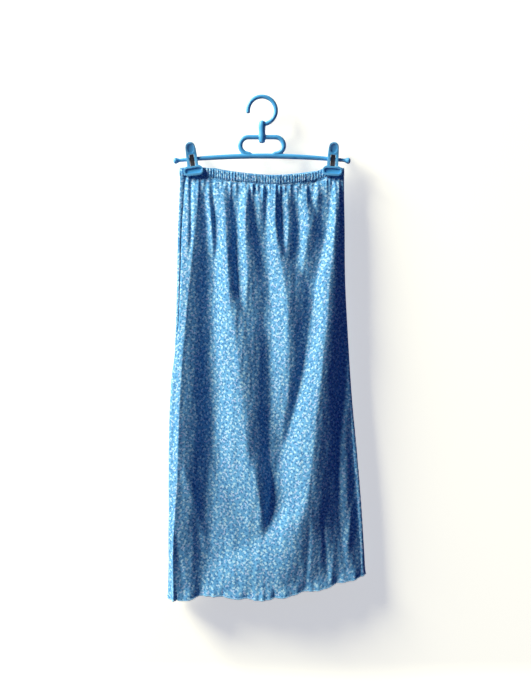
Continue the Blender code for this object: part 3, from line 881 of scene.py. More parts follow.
@dataclass(frozen=True)
class Arch:
    """A long fold, rounded on top and falling ever more steeply to a crease at each foot.

    Its rows hold the share of the drop, the crest's place across, the height and both feet's
    reach.
    """

    rows: Table
    fall: float = 1.6
    climb: float = 1.5
    least: float = 3 * MM
    end_drop: float = 0.2

    def rise(self, across: Array, share: float) -> Array:
        """Says how far the fold stands out, going below 0 beyond its feet.

        Args:
            across: Places across.
            share: The share of the drop.

        Returns:
            The rise at each place.
        """
        crest, height, left, right = read_table(self.rows, share) * MM
        beyond = max(0.0, self.rows[0][0] - share) + max(0.0, share - self.rows[-1][0])
        away = np.abs(across - crest) / np.where(across < crest, left, right)
        shape = away ** np.where(across < crest, self.climb, self.fall)
        lost = 4 * max(self.least - height, 0.0)
        return max(height, self.least) * (1 - shape) - lost - self.end_drop * beyond


@dataclass(frozen=True)
class Crease:
    """A soft trough or ridge laid from one place to another, in millimetres."""

    start: Pair
    end: Pair
    half_width: float
    depth: float
    fade: float = 0.25

    def relief(self, across: Array, height: Array) -> Array:
        """Says how far the crease moves the cloth.

        Args:
            across: Places across.
            height: Their heights.

        Returns:
            The relief at each place, below 0 in a trough.
        """
        from_x, from_z = np.array(self.start) * MM
        run_x, run_z = (np.array(self.end) - self.start) * MM
        size = math.hypot(run_x, run_z)
        part = ((across - from_x) * run_x + (height - from_z) * run_z) / size**2
        aside = ((across - from_x) * run_z - (height - from_z) * run_x) / size
        ends = ease(part / self.fade) * ease((1 - part) / self.fade)
        return self.depth * MM * ends * np.exp(-((aside / (self.half_width * MM)) ** 2))


@dataclass(frozen=True)
class FoldChart:
    """The folds of one panel: where two arches meet, the higher one shows, creases are added."""

    arches: tuple[Arch, ...]
    creases: tuple[Crease, ...]
    dips: tuple[float, ...]
    blend: float = 1.4 * MM
    limit: float = 60

    def relief(self, across: Array, share: float) -> Array:
        """Says how far the arches stand out together at places across."""
        rises = [arch.rise(across, share) / self.blend for arch in self.arches]
        return self.blend * np.log1p(sum(np.exp(np.clip(rise, -self.limit, self.limit)) for rise in rises))


@dataclass(frozen=True)
class WaistGathers:
    """Narrow gathers that puff out below the casing and run out into the long folds."""

    salt: float
    first: float = -164 * MM
    last: float = 164 * MM
    pitch: float = 9.6 * MM
    height: float = 5.6 * MM
    reach: float = 2.9 * MM
    onset: float = 6 * MM
    heights: Pair = (0.35, 0.65)
    onsets: Pair = (0.4, 1.3)
    fall: float = 1.5
    shortest: float = 14 * MM
    longest: float = 58 * MM

    def relief(self, across: Array, drop: Array) -> Array:
        """Says how far the gathers stand out.

        Args:
            across: Places across.
            drop: How far each place is below the waist seam.

        Returns:
            The relief at each place.
        """
        total = np.zeros_like(across)
        place, number = self.first, 0
        while place < self.last:
            long, high, step, late = (float(uneven(number, self.salt + more)) for more in range(4))
            length = self.shortest + (self.longest - self.shortest) * long**2
            shape = np.exp(-(((across - place) / self.reach) ** 2)) * np.exp(-((drop / length) ** self.fall))
            onset = self.onset * vary(late, *self.onsets)
            total += self.height * vary(high, *self.heights) * shape * ease(drop / onset)
            place += self.pitch * (0.5 + step)
            number += 1
        return total


@dataclass(frozen=True)
class HemWaves:
    """The lettuce edge: broad dips at named places, and finer flutes that fade upward."""

    dips: tuple[float, ...]
    salt: float
    dip: float = 2.2 * MM
    swing: float = 2.8 * MM
    start: float = 0.972
    roundness: float = 0.7
    ripple: float = 3.1 * MM
    ripple_share: float = 0.22
    ripple_sway: float = 2.2
    ripple_drift: float = 17 * MM
    flute: float = 15 * MM
    flute_drifts: tuple[Pair, ...] = ((0.9, 37 * MM), (0.6, 21 * MM))
    flute_swing: float = 0.12 * MM
    flute_rise: float = 30 * MM
    flute_fall: float = 1.2

    def broad(self, across: Array, share: float) -> Array:
        """Gives the broad wave, growing towards the hem.

        Args:
            across: Places across.
            share: The share of the drop.

        Returns:
            About 1 at each round dip and -1 at each narrow notch.
        """
        count = np.interp(across, np.array(self.dips) * MM, np.arange(len(self.dips)))
        lobes = 2 * np.abs(np.cos(math.pi * count)) ** self.roundness - 1
        sway = self.ripple_sway * np.sin(across / self.ripple_drift + self.salt)
        small = np.sin(across / self.ripple + sway)
        return (lobes + self.ripple_share * small) * ease((share - self.start) / (1 - self.start))

    def flutes(self, across: Array, rise: Array) -> Array:
        """Gives the fine flutes.

        Args:
            across: Places across.
            rise: How far each place is above the hem.

        Returns:
            How far they move the cloth.
        """
        drift = sum(
            sway * np.sin(across / length + number * self.salt)
            for number, (sway, length) in enumerate(self.flute_drifts, 1)
        )
        wave = np.sin(2 * math.pi * across / self.flute + drift)
        return self.flute_swing * wave * np.exp(-((rise / self.flute_rise) ** self.flute_fall))


@dataclass
class SkirtPanel:
    """One panel of the skirt, from side seam to side seam and from casing to hem."""

    side: Side
    form: TubeForm
    folds: FoldChart
    gathers: WaistGathers
    waves: HemWaves
    flat_width: float = 0.44
    flat_length: float = 0.86
    columns: int = 330
    rows: int = 146
    waist_rows: Pair = (2.4, 0.06)
    hem_rows: Pair = (2.2, 0.035)
    wall: float = 0.8 * MM
    fold_onset: float = 18 * MM
    pit: float = 1.8 * MM
    pit_onset: float = 3 * MM
    pit_reach: float = 9 * MM
    crinkle: float = 1.1 * MM
    crinkle_width: float = 15 * MM
    crinkle_length: float = 62 * MM
    finer_share: float = 0.45
    finer_rates: Pair = (2.3, 2.1)
    finer_salt: float = 7.0
    flare: float = 5 * MM
    flare_start: float = 0.84
    flare_curve: float = 1.7
    sink: float = 5 * MM
    sink_onset: float = 0.12
    seam_roll: float = 1.7 * MM
    seam_reach: float = 2.4 * MM
    pucker_share: float = 0.35
    pucker_pitch: float = 11 * MM
    hem_path: Array | None = None

    def _shares(self) -> Array:
        """Spaces the rows, closer near the waist and near the hem.

        Returns:
            Their shares of the drop.
        """
        knots = np.linspace(0, 1, 2001)
        ends = ((knots, *self.waist_rows), (1 - knots, *self.hem_rows))
        density = sum((more * np.exp(-((away / reach) ** 2)) for away, more, reach in ends), 1.0)
        total = np.append(0, np.cumsum(density)[:-1])
        return np.interp(np.linspace(0, total[-1], self.rows), total, knots)

    def _crinkles(self, lengths: Array, drop: Array) -> Array:
        """Gives the faint uneven crinkles that hang mostly along the drop.

        Args:
            lengths: Lengths round the tube.
            drop: How far each place is below the waist seam.

        Returns:
            How far they move the cloth.
        """
        spots = zip(lengths / self.crinkle_width, drop / self.crinkle_length)
        (wide, long), salts = self.finer_rates, (self.gathers.salt, self.finer_salt)
        return self.crinkle * np.array([
            noise.noise((x, y, salts[0])) + self.finer_share * noise.noise((wide * x, long * y, salts[1]))
            for x, y in spots
        ])

    def _row(self, section: TubeSection) -> tuple[Array, Array]:
        """Works out one row of the panel.

        Args:
            section: The tube there.

        Returns:
            The row's points and its flat-cloth places.
        """
        form, front, share = self.form, self.side is Side.FRONT, section.share
        seams = np.array((0, section.front_length, section.whole_length)) + section.seam_turn
        start, end = seams[:2] if front else seams[1:]
        lengths = section.columns(start + form.seam_gap / 2, end - form.seam_gap / 2, self.columns)
        spot, normal, facing = section.at(lengths)
        x, y, _ = spot.T
        top = form.waist_seam(x, facing) - form.seam_gap
        whole = top - form.hem(x, facing)
        drop = whole * share
        out = self.folds.relief(x, share) * ease(drop / self.fold_onset)
        out += self.gathers.relief(x, drop) * (1 - 0.5 * form.grip(x))
        out -= self.pit * ease(drop / self.pit_onset) * np.exp(-((drop / self.pit_reach) ** 2))
        out += sum(crease.relief(x, top - drop) for crease in self.folds.creases)
        out += self._crinkles(lengths, drop) + self.waves.flutes(x, whole - drop)
        out -= self.sink * section.fullness(y) * ease(share / self.sink_onset)
        out += self.flare * max(0.0, (share - self.flare_start) / (1 - self.flare_start)) ** self.flare_curve
        wave = self.waves.broad(x, share) * np.abs(facing)
        out = out * np.maximum(facing if front else -facing, 0) + self.waves.swing * wave
        edge = np.minimum(lengths - start, end - lengths)
        pucker = 1 + self.pucker_share * np.sin(2 * math.pi * drop / self.pucker_pitch)
        out -= self.seam_roll * pucker * np.exp(-((edge / self.seam_reach) ** 2))
        points = spot + normal * out[:, None]
        points[:, 2] = top - drop - self.waves.dip * wave
        along = lengths_along(points[:, :2])
        return points, np.stack([along - along[-1] / 2, -drop], axis=-1)

    def build(self, wardrobe: Wardrobe) -> Object:
        """Builds the panel's shell and dresses it.

        Args:
            wardrobe: The finishes.

        Returns:
            The panel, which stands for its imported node.
        """
        made = [self._row(TubeSection(self.form, float(share))) for share in self._shares()]
        middle, flat = (np.array(grid) for grid in zip(*made))
        self.hem_path = middle[-1]
        offset = unit(np.cross(np.gradient(middle, axis=0), np.gradient(middle, axis=1))) * self.wall / 2
        name = f"panel_{self.side.value}"
        mesh = wall_mesh(name, (middle + offset, middle - offset), (flat, flat), False)
        piece = add_piece(name, mesh, [wardrobe.outside, wardrobe.inside])
        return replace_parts(piece, f"skirt_{self.side.value}")


@dataclass
class WaistCasing:
    """The ruched casing over its elastic, with a ruffled top edge and a stitched foot."""

    form: TubeForm
    gathers: int = 146
    pitches: Pair = (0.55, 0.9)
    strengths: Pair = (0.4, 0.6)
    salts: Place = (1.3, 2.1, 0.9)
    roundness: float = 0.75
    columns: int = 8
    rows: int = 16
    inside_wall: float = 1.5 * MM
    crest: float = 2.0 * MM
    valley: float = 0.1 * MM
    swell: float = 1.8
    swell_turn: Pair = (0.06, 0.88)
    least_swell: float = 0.25
    firm_grip: float = 0.999
    gripped: float = 1.5 * MM
    ruffle: float = 1.0 * MM
    ruffle_held: float = 0.8
    ruffle_fall: float = 9
    sway: float = 0.35 * MM
    sway_turns: float = 0.8
    sway_step: float = 6 * MM
    groove_height: float = 2.6 * MM
    groove_half: float = 0.9 * MM
    groove_depth: float = 0.5 * MM
    flat_length: float = 0.88

    def build(self, wardrobe: Wardrobe) -> Object:
        """Builds the casing as one ring and dresses it.

        Args:
            wardrobe: The finishes.

        Returns:
            The casing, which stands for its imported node.
        """
        form, section = self.form, TubeSection(self.form, 0)
        pitch_salt, strength_salt, sway_salt = self.salts
        pitches = vary(uneven(np.arange(self.gathers), pitch_salt), *self.pitches)
        starts = np.append(0, np.cumsum(pitches)) / pitches.sum() * section.whole_length
        part = np.arange(self.columns) / self.columns
        lengths = (starts[:-1, None] + np.diff(starts)[:, None] * part).ravel()
        spot, normal, facing = section.at(lengths)
        held = form.grip(spot[:, 0])
        foot = form.waist_seam(spot[:, 0], facing)
        shape = np.tile(np.abs(np.cos(math.pi * part)) ** self.roundness, self.gathers)
        strengths = vary(uneven(np.arange(self.gathers + 1), strength_salt), *self.strengths)
        strength = np.interp(lengths, starts, strengths)
        shares = np.linspace(1, 0, self.rows)[:, None]
        height = shares * form.casing_height
        body = np.clip(np.sin(math.pi * vary(shares, *self.swell_turn)) * self.swell, self.least_swell, 1)
        tuck = self.groove_depth * np.exp(-(((height - self.groove_height) / self.groove_half) ** 2))
        out = (self.valley + (self.crest - self.valley) * shape * strength) * body - tuck
        out = np.minimum(out, np.where(held > self.firm_grip, self.gripped, np.inf))
        phase = 3 * uneven(np.round(lengths / self.sway_step), sway_salt)
        sway = self.sway * np.sin(2 * math.pi * (shares * self.sway_turns + phase))
        outer = spot + normal * out[..., None]
        outer[..., 0] += sway * (1 - held) * np.abs(facing)
        ruffle = self.ruffle * (shape - 0.5) * (1 - self.ruffle_held * held)
        outer[..., 2] = foot + height + ruffle * np.exp((shares - 1) * self.ruffle_fall)
        inner_height = np.array((1.0, 0.5, 0.0))[:, None] * form.casing_height
        inner = np.tile(spot - normal * self.inside_wall, (3, 1, 1))
        inner[..., 2] = foot + inner_height
        around = np.append(lengths, section.whole_length) * self.flat_length / section.whole_length
        flats = tuple(np.stack(np.broadcast_arrays(around, up), axis=-1) for up in (height, inner_height))
        mesh = wall_mesh("waist_casing", (outer, inner), flats, True)
        piece = add_piece("waist_casing", mesh, [wardrobe.outside, wardrobe.inside])
        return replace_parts(piece, "waistband_casing")


@dataclass
class RolledHem:
    """The overlocked edge: thread wrapped round the rolled cloth, stitch by stitch."""

    panel: SkirtPanel
    radius: float = 1.25 * MM
    stitch: float = 1.5 * MM
    rings: int = 3
    sides: int = 8
    swell: float = 0.16
    ripple: float = 0.25 * MM
    ripple_slow: float = 2.6
    ripple_sway: float = 1.7
    drift: float = 13 * MM

    def build(self, wardrobe: Wardrobe) -> Object:
        """Builds the hem's wrapped edge.

        Args:
            wardrobe: The finishes.

        Returns:
            The hem.
        """
        name, edge = f"hem_{self.panel.side.value}", self.panel.hem_path
        lengths = lengths_along(edge)
        stitches = int(lengths[-1] / self.stitch)
        places = np.linspace(0, lengths[-1], stitches * self.rings + 1)
        path = np.stack([np.interp(places, lengths, line) for line in edge.T], axis=1)
        turn = math.pi * places / places[-1] * stitches
        sway = self.ripple_sway * np.sin(places / self.drift)
        path[:, 2] += self.ripple * np.sin(turn / self.ripple_slow + sway)
        radii = self.radius * (1 - self.swell / 2 + self.swell * np.abs(np.sin(turn)))
        mesh = thread_mesh(name, path, radii, self.sides)
        return add_piece(name, mesh, [wardrobe.hem_thread])


@dataclass
class CasingStitches:
    """The row of small stitches that holds the casing's foot, pulled down between its gathers."""

    casing: WaistCasing
    thread: float = 0.32 * MM
    stitch: float = 3.2 * MM
    steps: int = 5
    sides: int = 6
    out: float = 0.95 * MM
    dive: float = 0.75 * MM

    def build(self, wardrobe: Wardrobe) -> Object:
        """Builds the stitches as one thread that dives at each end of a stitch.

        Args:
            wardrobe: The finishes.

        Returns:
            The stitches.
        """
        form = self.casing.form
        section = TubeSection(form, 0)
        count = int(section.whole_length / self.stitch)
        lengths = np.linspace(0, section.whole_length, count * self.steps + 1)
        spot, normal, facing = section.at(lengths)
        turn = math.pi * lengths / section.whole_length * count
        path = spot + normal * (self.out - self.dive * (1 - np.abs(np.sin(turn))))[:, None]
        path[:, 2] = form.waist_seam(spot[:, 0], facing) + self.casing.groove_height
        mesh = thread_mesh("casing_stitches", path, np.full(len(path), self.thread), self.sides)
        return add_piece("casing_stitches", mesh, [wardrobe.seam_thread])


def settled(obj: Object, keep: bool = False) -> Mesh:
    """Copies an object's mesh with its modifiers worked in.

    Args:
        obj: The object.
        keep: Whether it stays on the scene.

    Returns:
        The finished mesh.
    """
    graph = bpy.context.evaluated_depsgraph_get()
    mesh = bpy.data.meshes.new_from_object(obj.evaluated_get(graph), depsgraph=graph)
    if not keep:
        bpy.data.objects.remove(obj, do_unlink=True)
    return mesh


@dataclass
class HangerFrame:
    """The arched bar with knob ends, the handle loop, the barrel and the hook, in one moulding.

    The bar's rows hold the place across and its half height and half depth, the barrel's rows
    its height and radius.
    """

    bar_rows: Table = (
        (0.0, 5.2, 4.4), (48.0, 5.0, 4.3), (96.0, 4.6, 4.1), (132.0, 4.0, 3.8), (162.0, 3.4, 3.4),
        (170.0, 3.5, 3.5), (174.0, 5.2, 5.2), (177.0, 6.1, 6.1), (179.6, 5.2, 5.2), (181.2, 2.9, 2.9),
        (181.8, 0.8, 0.8),
    )
    barrel_rows: Table = (
        (-91.8, 1.2), (-90.9, 4.0), (-88.6, 5.8), (-85.4, 6.5), (-68.0, 6.5), (-51.2, 6.5), (-48.2, 5.8),
        (-46.0, 4.0), (-45.0, 1.2),
    )
    middle_height: float = -118 * MM
    arch: float = 9.6 * MM
    arch_end: float = 176 * MM
    loop_straight: float = 27.5 * MM
    loop_radius: float = 17.1 * MM
    loop_top: float = -79.3 * MM
    loop_half: Pair = (4.5 * MM, 3.9 * MM)
    loop_foot: Place = (21 * MM, 0.0, -118 * MM)
    hook_inside: float = 24.5 * MM
    hook_half: Pair = (4.0 * MM, 3.5 * MM)
    hook_turns: Pair = (math.radians(-90), math.radians(185))
    voxel: float = 0.75 * MM
    smoothing: int = 5
    smoothed_off: float = 0.4 * MM

    def bar_height(self, across: Array) -> Array:
        """Gives the height of the arched bar's middle line at places across."""
        return self.middle_height - self.arch * (across / self.arch_end) ** 2

    def _swept(self, path: Array, halves: Array, sides: int) -> Mesh:
        """Sweeps an oval along a path in the upright plane.

        Args:
            path: The centres.
            halves: The half sizes in the plane and along Y, before smoothing takes some off.
            sides: How many sides the oval has.

        Returns:
            The mesh.
        """
        wide, deep = halves + self.smoothed_off
        across = np.cross(DEEP, unit(np.gradient(path, axis=0)))
        return ring_mesh("form", oval_rings(path, wide, deep, (across, DEEP), sides))

    def _bar(self) -> Mesh:
        """Builds the bar with its two knobs.

        Returns:
            The mesh.
        """
        half = self.bar_rows[-1][0] * np.sin(np.linspace(0, math.pi / 2, 70))
        across = np.append(-half[:0:-1], half)
        path = upright(across * MM, self.bar_height(across * MM))
        return self._swept(path, read_table(self.bar_rows, np.abs(across)) * MM, 28)

    def _loop(self) -> Mesh:
        """Builds the handle: a straight top, two round ends and two feet that sink in the bar.

        Returns:
            The mesh.
        """
        turns = np.linspace(math.pi / 2, -math.pi / 2, 25)
        end = upright(self.loop_straight + self.loop_radius * np.cos(turns),
                      self.loop_top - self.loop_radius + self.loop_radius * np.sin(turns))
        right = np.concatenate([end, np.linspace(end[-1], self.loop_foot, 6)[1:]])
        path = np.concatenate([right[::-1] * (-1, 1, 1), right])
        return self._swept(path, np.repeat(np.array(self.loop_half)[:, None], len(path), axis=1), 24)

    def _barrel(self) -> Mesh:
        """Builds the round barrel between the handle and the hook.

        Returns:
            The mesh.
        """
        heights = np.linspace(self.barrel_rows[0][0], self.barrel_rows[-1][0], 60)
        radii = read_table(self.barrel_rows, heights)[0] * MM + self.smoothed_off
        rings = oval_rings(upright(0 * heights, heights * MM), radii, radii, (RIGHT, DEEP), 32)
        return ring_mesh("form", rings)

    def _hook(self) -> Mesh:
        """Builds the hook's arc, its tip rounded.

        Returns:
            The mesh.
        """
        radius = self.hook_inside + self.hook_half[0]
        tip = self.hook_half[0] / radius
        rounded = self.hook_turns[1] + tip * np.linspace(0.15, 0.98, 8)
        turns = np.append(np.linspace(*self.hook_turns, 90), rounded)
        size = np.sqrt(1 - np.clip((turns - self.hook_turns[1]) / tip, 0, 1) ** 2)
        path = upright(radius * np.cos(turns), -self.hook_inside + radius * np.sin(turns))
        halves = (np.array(self.hook_half)[:, None] + self.smoothed_off) * size - self.smoothed_off
        return self._swept(path, halves, 24)

    def build(self, wardrobe: Wardrobe) -> Object:
        """Joins the four forms into one moulding with soft inside corners.

        Args:
            wardrobe: The finishes.

        Returns:
            The frame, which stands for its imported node.
        """
        whole = bmesh.new()
        for mesh in (self._bar(), self._loop(), self._barrel(), self._hook()):
            whole.from_mesh(mesh)
        joined = bpy.data.meshes.new("moulding")
        whole.to_mesh(joined)
        whole.free()
        obj = put("moulding", joined)
        remesh = obj.modifiers.new("one_skin", "REMESH")
        remesh.mode = "VOXEL"
        remesh.voxel_size = self.voxel
        soften = obj.modifiers.new("soft_corners", "SMOOTH")
        soften.factor = 0.5
        soften.iterations = self.smoothing
        piece = add_piece("hanger_moulding", settled(obj), [wardrobe.plastic])
        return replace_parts(piece, "hanger_frame")


@dataclass(frozen=True)
class Bevel:
    """How an edge is rounded: how wide, in how many steps and from what angle on."""

    width: float
    steps: int
    least_angle: float


@dataclass
class HangerClip:
    """One clip: two moulded halves that rock on the bar, and the bent strip between them.

    The lever's rows hold its height, half width, and inner and outer faces' distance.
    """

    name: str
    across: float
    lean: float
    hanger: HangerFrame
    lever_rows: Table = (
        (-27.0, 11.4, 3.7, 7.4), (-15.5, 11.4, 4.1, 7.4), (9.5, 11.0, 4.1, 7.4), (24.0, 10.2, 7.9, 11.0),
        (28.6, 9.0, 9.2, 12.2), (31.6, 6.8, 10.1, 12.9), (33.4, 3.8, 10.7, 13.2), (34.0, 1.4, 10.9, 13.2),
    )
    lever_steps: tuple[tuple[float, float, int], ...] = ((-27, 9.5, 8), (12, 34, 14))
    foot_size: Pair = (40.8 * MM, 20.4 * MM)
    foot_faces: Pair = (3.7 * MM, 9.3 * MM)
    foot_middle: float = -24.6 * MM
    recess_size: Pair = (33.6 * MM, 10.6 * MM)
    recess_faces: Pair = (7.2 * MM, 11.3 * MM)
    window: Place = (10.6 * MM, 30 * MM, 25 * MM)
    window_height: float = -3 * MM
    thumb: Place = (13.6 * MM, 6.0 * MM, 19 * MM)
    thumb_centre: Pair = (12.1 * MM, 20.6 * MM)
    flare: float = math.radians(14)
    spring_width: float = 9 * MM
    spring_half_wall: float = 0.4 * MM
    spring_radius: float = 4.9 * MM
    spring_bend: float = 4.5 * MM
    spring_foot: float = -15.2 * MM
    moulded_edge: Bevel = Bevel(0.7 * MM, 3, math.radians(32))
    strip_edge: Bevel = Bevel(0.12 * MM, 2, math.radians(50))
    sharp: float = math.radians(40)

    @staticmethod
    def _plate(size: Pair, middle: float, faces: Pair, side: int) -> Array:
        """Draws a plate with round ends.

        Args:
            size: Its whole width and height.
            middle: The height of its middle.
            faces: How far its two faces lie from the bar's middle plane.
            side: -1 for the front half, 1 for the back one.

        Returns:
            Both faces' outlines.
        """
        radius = size[1] / 2
        turns = np.linspace(-math.pi / 2, math.pi / 2, 14)
        right = upright(size[0] / 2 - radius + radius * np.cos(turns), radius * np.sin(turns))
        outline = np.concatenate([right, -right]) + middle * UP
        return np.stack([outline + side * face * DEEP for face in faces])

    def _lever(self, side: int) -> Array:
        """Draws the lever from inside the foot up to the round thumb tab.

        Args:
            side: -1 for the front half, 1 for the back one.

        Returns:
            Its rings.
        """
        heights = np.concatenate([np.linspace(*steps) for steps in self.lever_steps])
        at, *columns = np.array(self.lever_rows).T
        wide, near, far = (np.interp(heights, at, column) for column in columns)
        x = np.stack([-wide, wide, wide, -wide], axis=1)
        y = np.stack([near, near, far, far], axis=1) * side
        return np.dstack([x, y, np.tile(heights[:, None], 4)]) * MM

    def _thumb(self, side: int) -> Array:
        """Draws the oval recess in the thumb tab.

        Args:
            side: -1 for the front half, 1 for the back one.

        Returns:
            Its two outlines.
        """
        wide, thick, high = self.thumb
        path = np.array((-thick / 2, thick / 2))[:, None] * DEEP
        rings = oval_rings(path, np.full(2, wide / 2), np.full(2, high / 2), (RIGHT, UP), 36)
        tilt = np.array(Matrix.Rotation(-side * self.flare, 3, "X"))
        return rings @ tilt.T + (0, side * self.thumb_centre[0], self.thumb_centre[1])

    def _cut(self, obj: Object, rings: Array, operation: str) -> None:
        """Joins or cuts a half with another form.

        Args:
            obj: The half.
            rings: The other form's rings.
            operation: UNION or DIFFERENCE.
        """
        tool = put("tool", ring_mesh("tool", rings))
        boolean = obj.modifiers.new("form", "BOOLEAN")
        boolean.operation = operation
        boolean.object = tool
        boolean.solver = "EXACT"
        obj.data = settled(obj, keep=True)
        obj.modifiers.clear()
        bpy.data.objects.remove(tool, do_unlink=True)

    def _finish(
        self, obj: Object, edge: Bevel, word: str, node: str, surface: Material
    ) -> Object:
        """Rounds a part's edges, sets it on the leaning clip and dresses it.

        Args:
            obj: The part at the bar's middle.
            edge: How its edges are rounded.
            word: The end of the piece's name.
            node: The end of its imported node's name.
            surface: Its finish.

        Returns:
            The piece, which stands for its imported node.
        """
        bevel = obj.modifiers.new("round_edges", "BEVEL")
        bevel.width, bevel.segments = edge.width, edge.steps
        bevel.limit_method, bevel.angle_limit = "ANGLE", edge.least_angle
        mesh = settled(obj)
        spot = Vector((self.across, 0, float(self.hanger.bar_height(np.array(self.across)))))
        mesh.transform(Matrix.Translation(spot) @ Matrix.Rotation(self.lean, 4, "Y"))
        piece = add_piece(f"{self.name}_{word}", mesh, [surface])
        mesh.set_sharp_from_angle(angle=self.sharp)
        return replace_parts(piece, f"{self.name}_{node}")

    def _half(self, word: str, side: int, wardrobe: Wardrobe) -> Object:
        """Builds one moulded half.

        Args:
            word: front or back.
            side: -1 for the front half, 1 for the back one.
            wardrobe: The finishes.

        Returns:
            The half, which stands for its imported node.
        """
        wide, thick, high = (size / 2 for size in self.window)
        outline = ((-1, -1), (1, -1), (1, 1), (-1, 1))
        window = np.array([
            [(x * wide, y * thick, self.window_height + z * high) for x, y in outline] for z in (-1, 1)
        ])
        obj = put("half", ring_mesh("lever", self._lever(side)))
        self._cut(obj, self._plate(self.foot_size, self.foot_middle, self.foot_faces, side), "UNION")
        self._cut(obj, window, "DIFFERENCE")
        self._cut(obj, self._plate(self.recess_size, self.foot_middle, self.recess_faces, side), "DIFFERENCE")
        self._cut(obj, self._thumb(side), "DIFFERENCE")
        return self._finish(obj, self.moulded_edge, f"{word}_half", word,
                            wardrobe.plastic)

    def _spring(self, wardrobe: Wardrobe) -> Object:
        """Builds the bent strip, over the bar with a leg in each window.

        Args:
            wardrobe: The finishes.

        Returns:
            The strip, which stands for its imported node.
        """
        radius, wide = self.spring_radius, self.spring_width / 2
        turns = np.linspace(math.pi, 0, 25)
        bend = np.stack([radius * np.cos(turns), self.spring_bend + radius * np.sin(turns)], axis=1)
        path = np.concatenate([[(-radius, self.spring_foot)], bend, [(radius, self.spring_foot)]])
        along = np.gradient(path, axis=0)
        along[0], along[-1] = (0, 1), (0, -1)
        thick = unit(along)[:, ::-1] * (-1, 1) * self.spring_half_wall
        x = np.tile([-wide, wide, wide, -wide], (len(path), 1))
        rings = np.dstack([x, np.stack([path - thick, path - thick, path + thick, path + thick], axis=1)])
        obj = put("strip", ring_mesh("strip", rings))
        return self._finish(obj, self.strip_edge, "strip", "spring", wardrobe.steel)

    def build(self, wardrobe: Wardrobe) -> list[Object]:
        """Builds both halves and the strip."""
        return [self._half("front", -1, wardrobe), self._half("back", 1, wardrobe), self._spring(wardrobe)]


@dataclass(frozen=True)
class SoftLight:
    """A square soft light that faces the middle of the skirt."""

    name: str
    place: Place
    size: float
    power: float
    colour: Colour
    target: Place = (0, 0, -0.55)

    def build(self) -> None:
        """Puts the light on the scene."""
        lamp = bpy.data.lights.new(self.name, "AREA")
        lamp.size, lamp.energy, lamp.color = self.size, self.power, self.colour
        light = put(self.name, lamp)
        light.location = self.place
        light.rotation_euler = (Vector(self.target) - Vector(self.place)).to_track_quat("-Z", "Y").to_euler()


@dataclass
class Studio:
    """The pale floor and backdrop, the soft lights and the camera."""

    eye: Place = (0.0072, -3.0, -0.5146)
    view_height: float = 1.433
    sensor: float = 36.0
    backdrop_y: float = 0.030
    backdrop_half_width: float = 1.6
    backdrop_top: float = 1.4
    floor_height: float = -1.30
    cove: float = 0.14
    floor_half: float = 4.0
    lights: tuple[SoftLight, ...] = (
        SoftLight("key", (-4.47, -1.81, 3.18), 2.5, 880.0, (1.0, 0.96, 0.79)),
        SoftLight("fill", (1.4, -3.2, 0.4), 1.6, 3.0, (0.30, 0.50, 1.0)),
        SoftLight("back_light", (-2.7, 2.7, 1.5), 1.4, 110.0, WHITE),
    )
    ambient: Colour = (0.009, 0.023, 0.092)

    def _camera(self) -> None:
        """Sets the camera level at the photograph's angle and distance."""
        lens = bpy.data.cameras.new("camera")
        lens.sensor_fit, lens.sensor_height = "VERTICAL", self.sensor
        lens.lens = self.sensor * -self.eye[1] / self.view_height
        camera = put("camera", lens)
        camera.location, camera.rotation_euler = self.eye, (math.pi / 2, 0, 0)
        bpy.context.scene.camera = camera

    @staticmethod
    def _sheet(name: str, profile: list[Pair], half_width: float, paint: Material) -> None:
        """Spreads a painted sheet from side to side along a profile.

        Args:
            name: Its name.
            profile: Its places along Y and their heights.
            half_width: Half its width.
            paint: Its paint.
        """
        mesh = bpy.data.meshes.new(name)
        points = [(x, y, z) for y, z in profile for x in (-half_width, half_width)]
        faces = [(2 * row, 2 * row + 2, 2 * row + 3, 2 * row + 1) for row in range(len(profile) - 1)]
        mesh.from_pydata(points, [], faces)
        mesh.shade_smooth()
        mesh.materials.append(paint)
        sheet = put(name, mesh)
        sheet.visible_diffuse = False

    def _world(self) -> None:
        """Fills the room with a faint cool light, and shows plain white where nothing stands."""
        world = bpy.data.worlds.new("room")
        world.use_nodes = True
        bpy.context.scene.world = world
        desk = NodeDesk(world.node_tree)
        seen = desk.node("LightPath").outputs["Is Camera Ray"]
        desk.feed(desk.tree.nodes["Background"].inputs["Color"], desk.blend(seen, self.ambient, WHITE))

    def build(self) -> None:
        """Sets up the whole studio."""
        paint = BackdropPaint().surface()
        turns = np.linspace(0, math.pi / 2, 13)
        curve = zip(self.backdrop_y - self.cove * (1 - np.cos(turns)),
                    self.floor_height + self.cove - self.cove * np.sin(turns))
        wall = [(self.backdrop_y, self.backdrop_top), *curve]
        level = self.floor_height - MM
        self._camera()
        self._sheet("backdrop", wall, self.backdrop_half_width, paint)
        self._sheet("floor", [(self.floor_half, level), (-self.floor_half, level)], self.floor_half, paint)
        self._world()
        for light in self.lights:
            light.build()
        bpy.context.scene.view_settings.view_transform = "Standard"


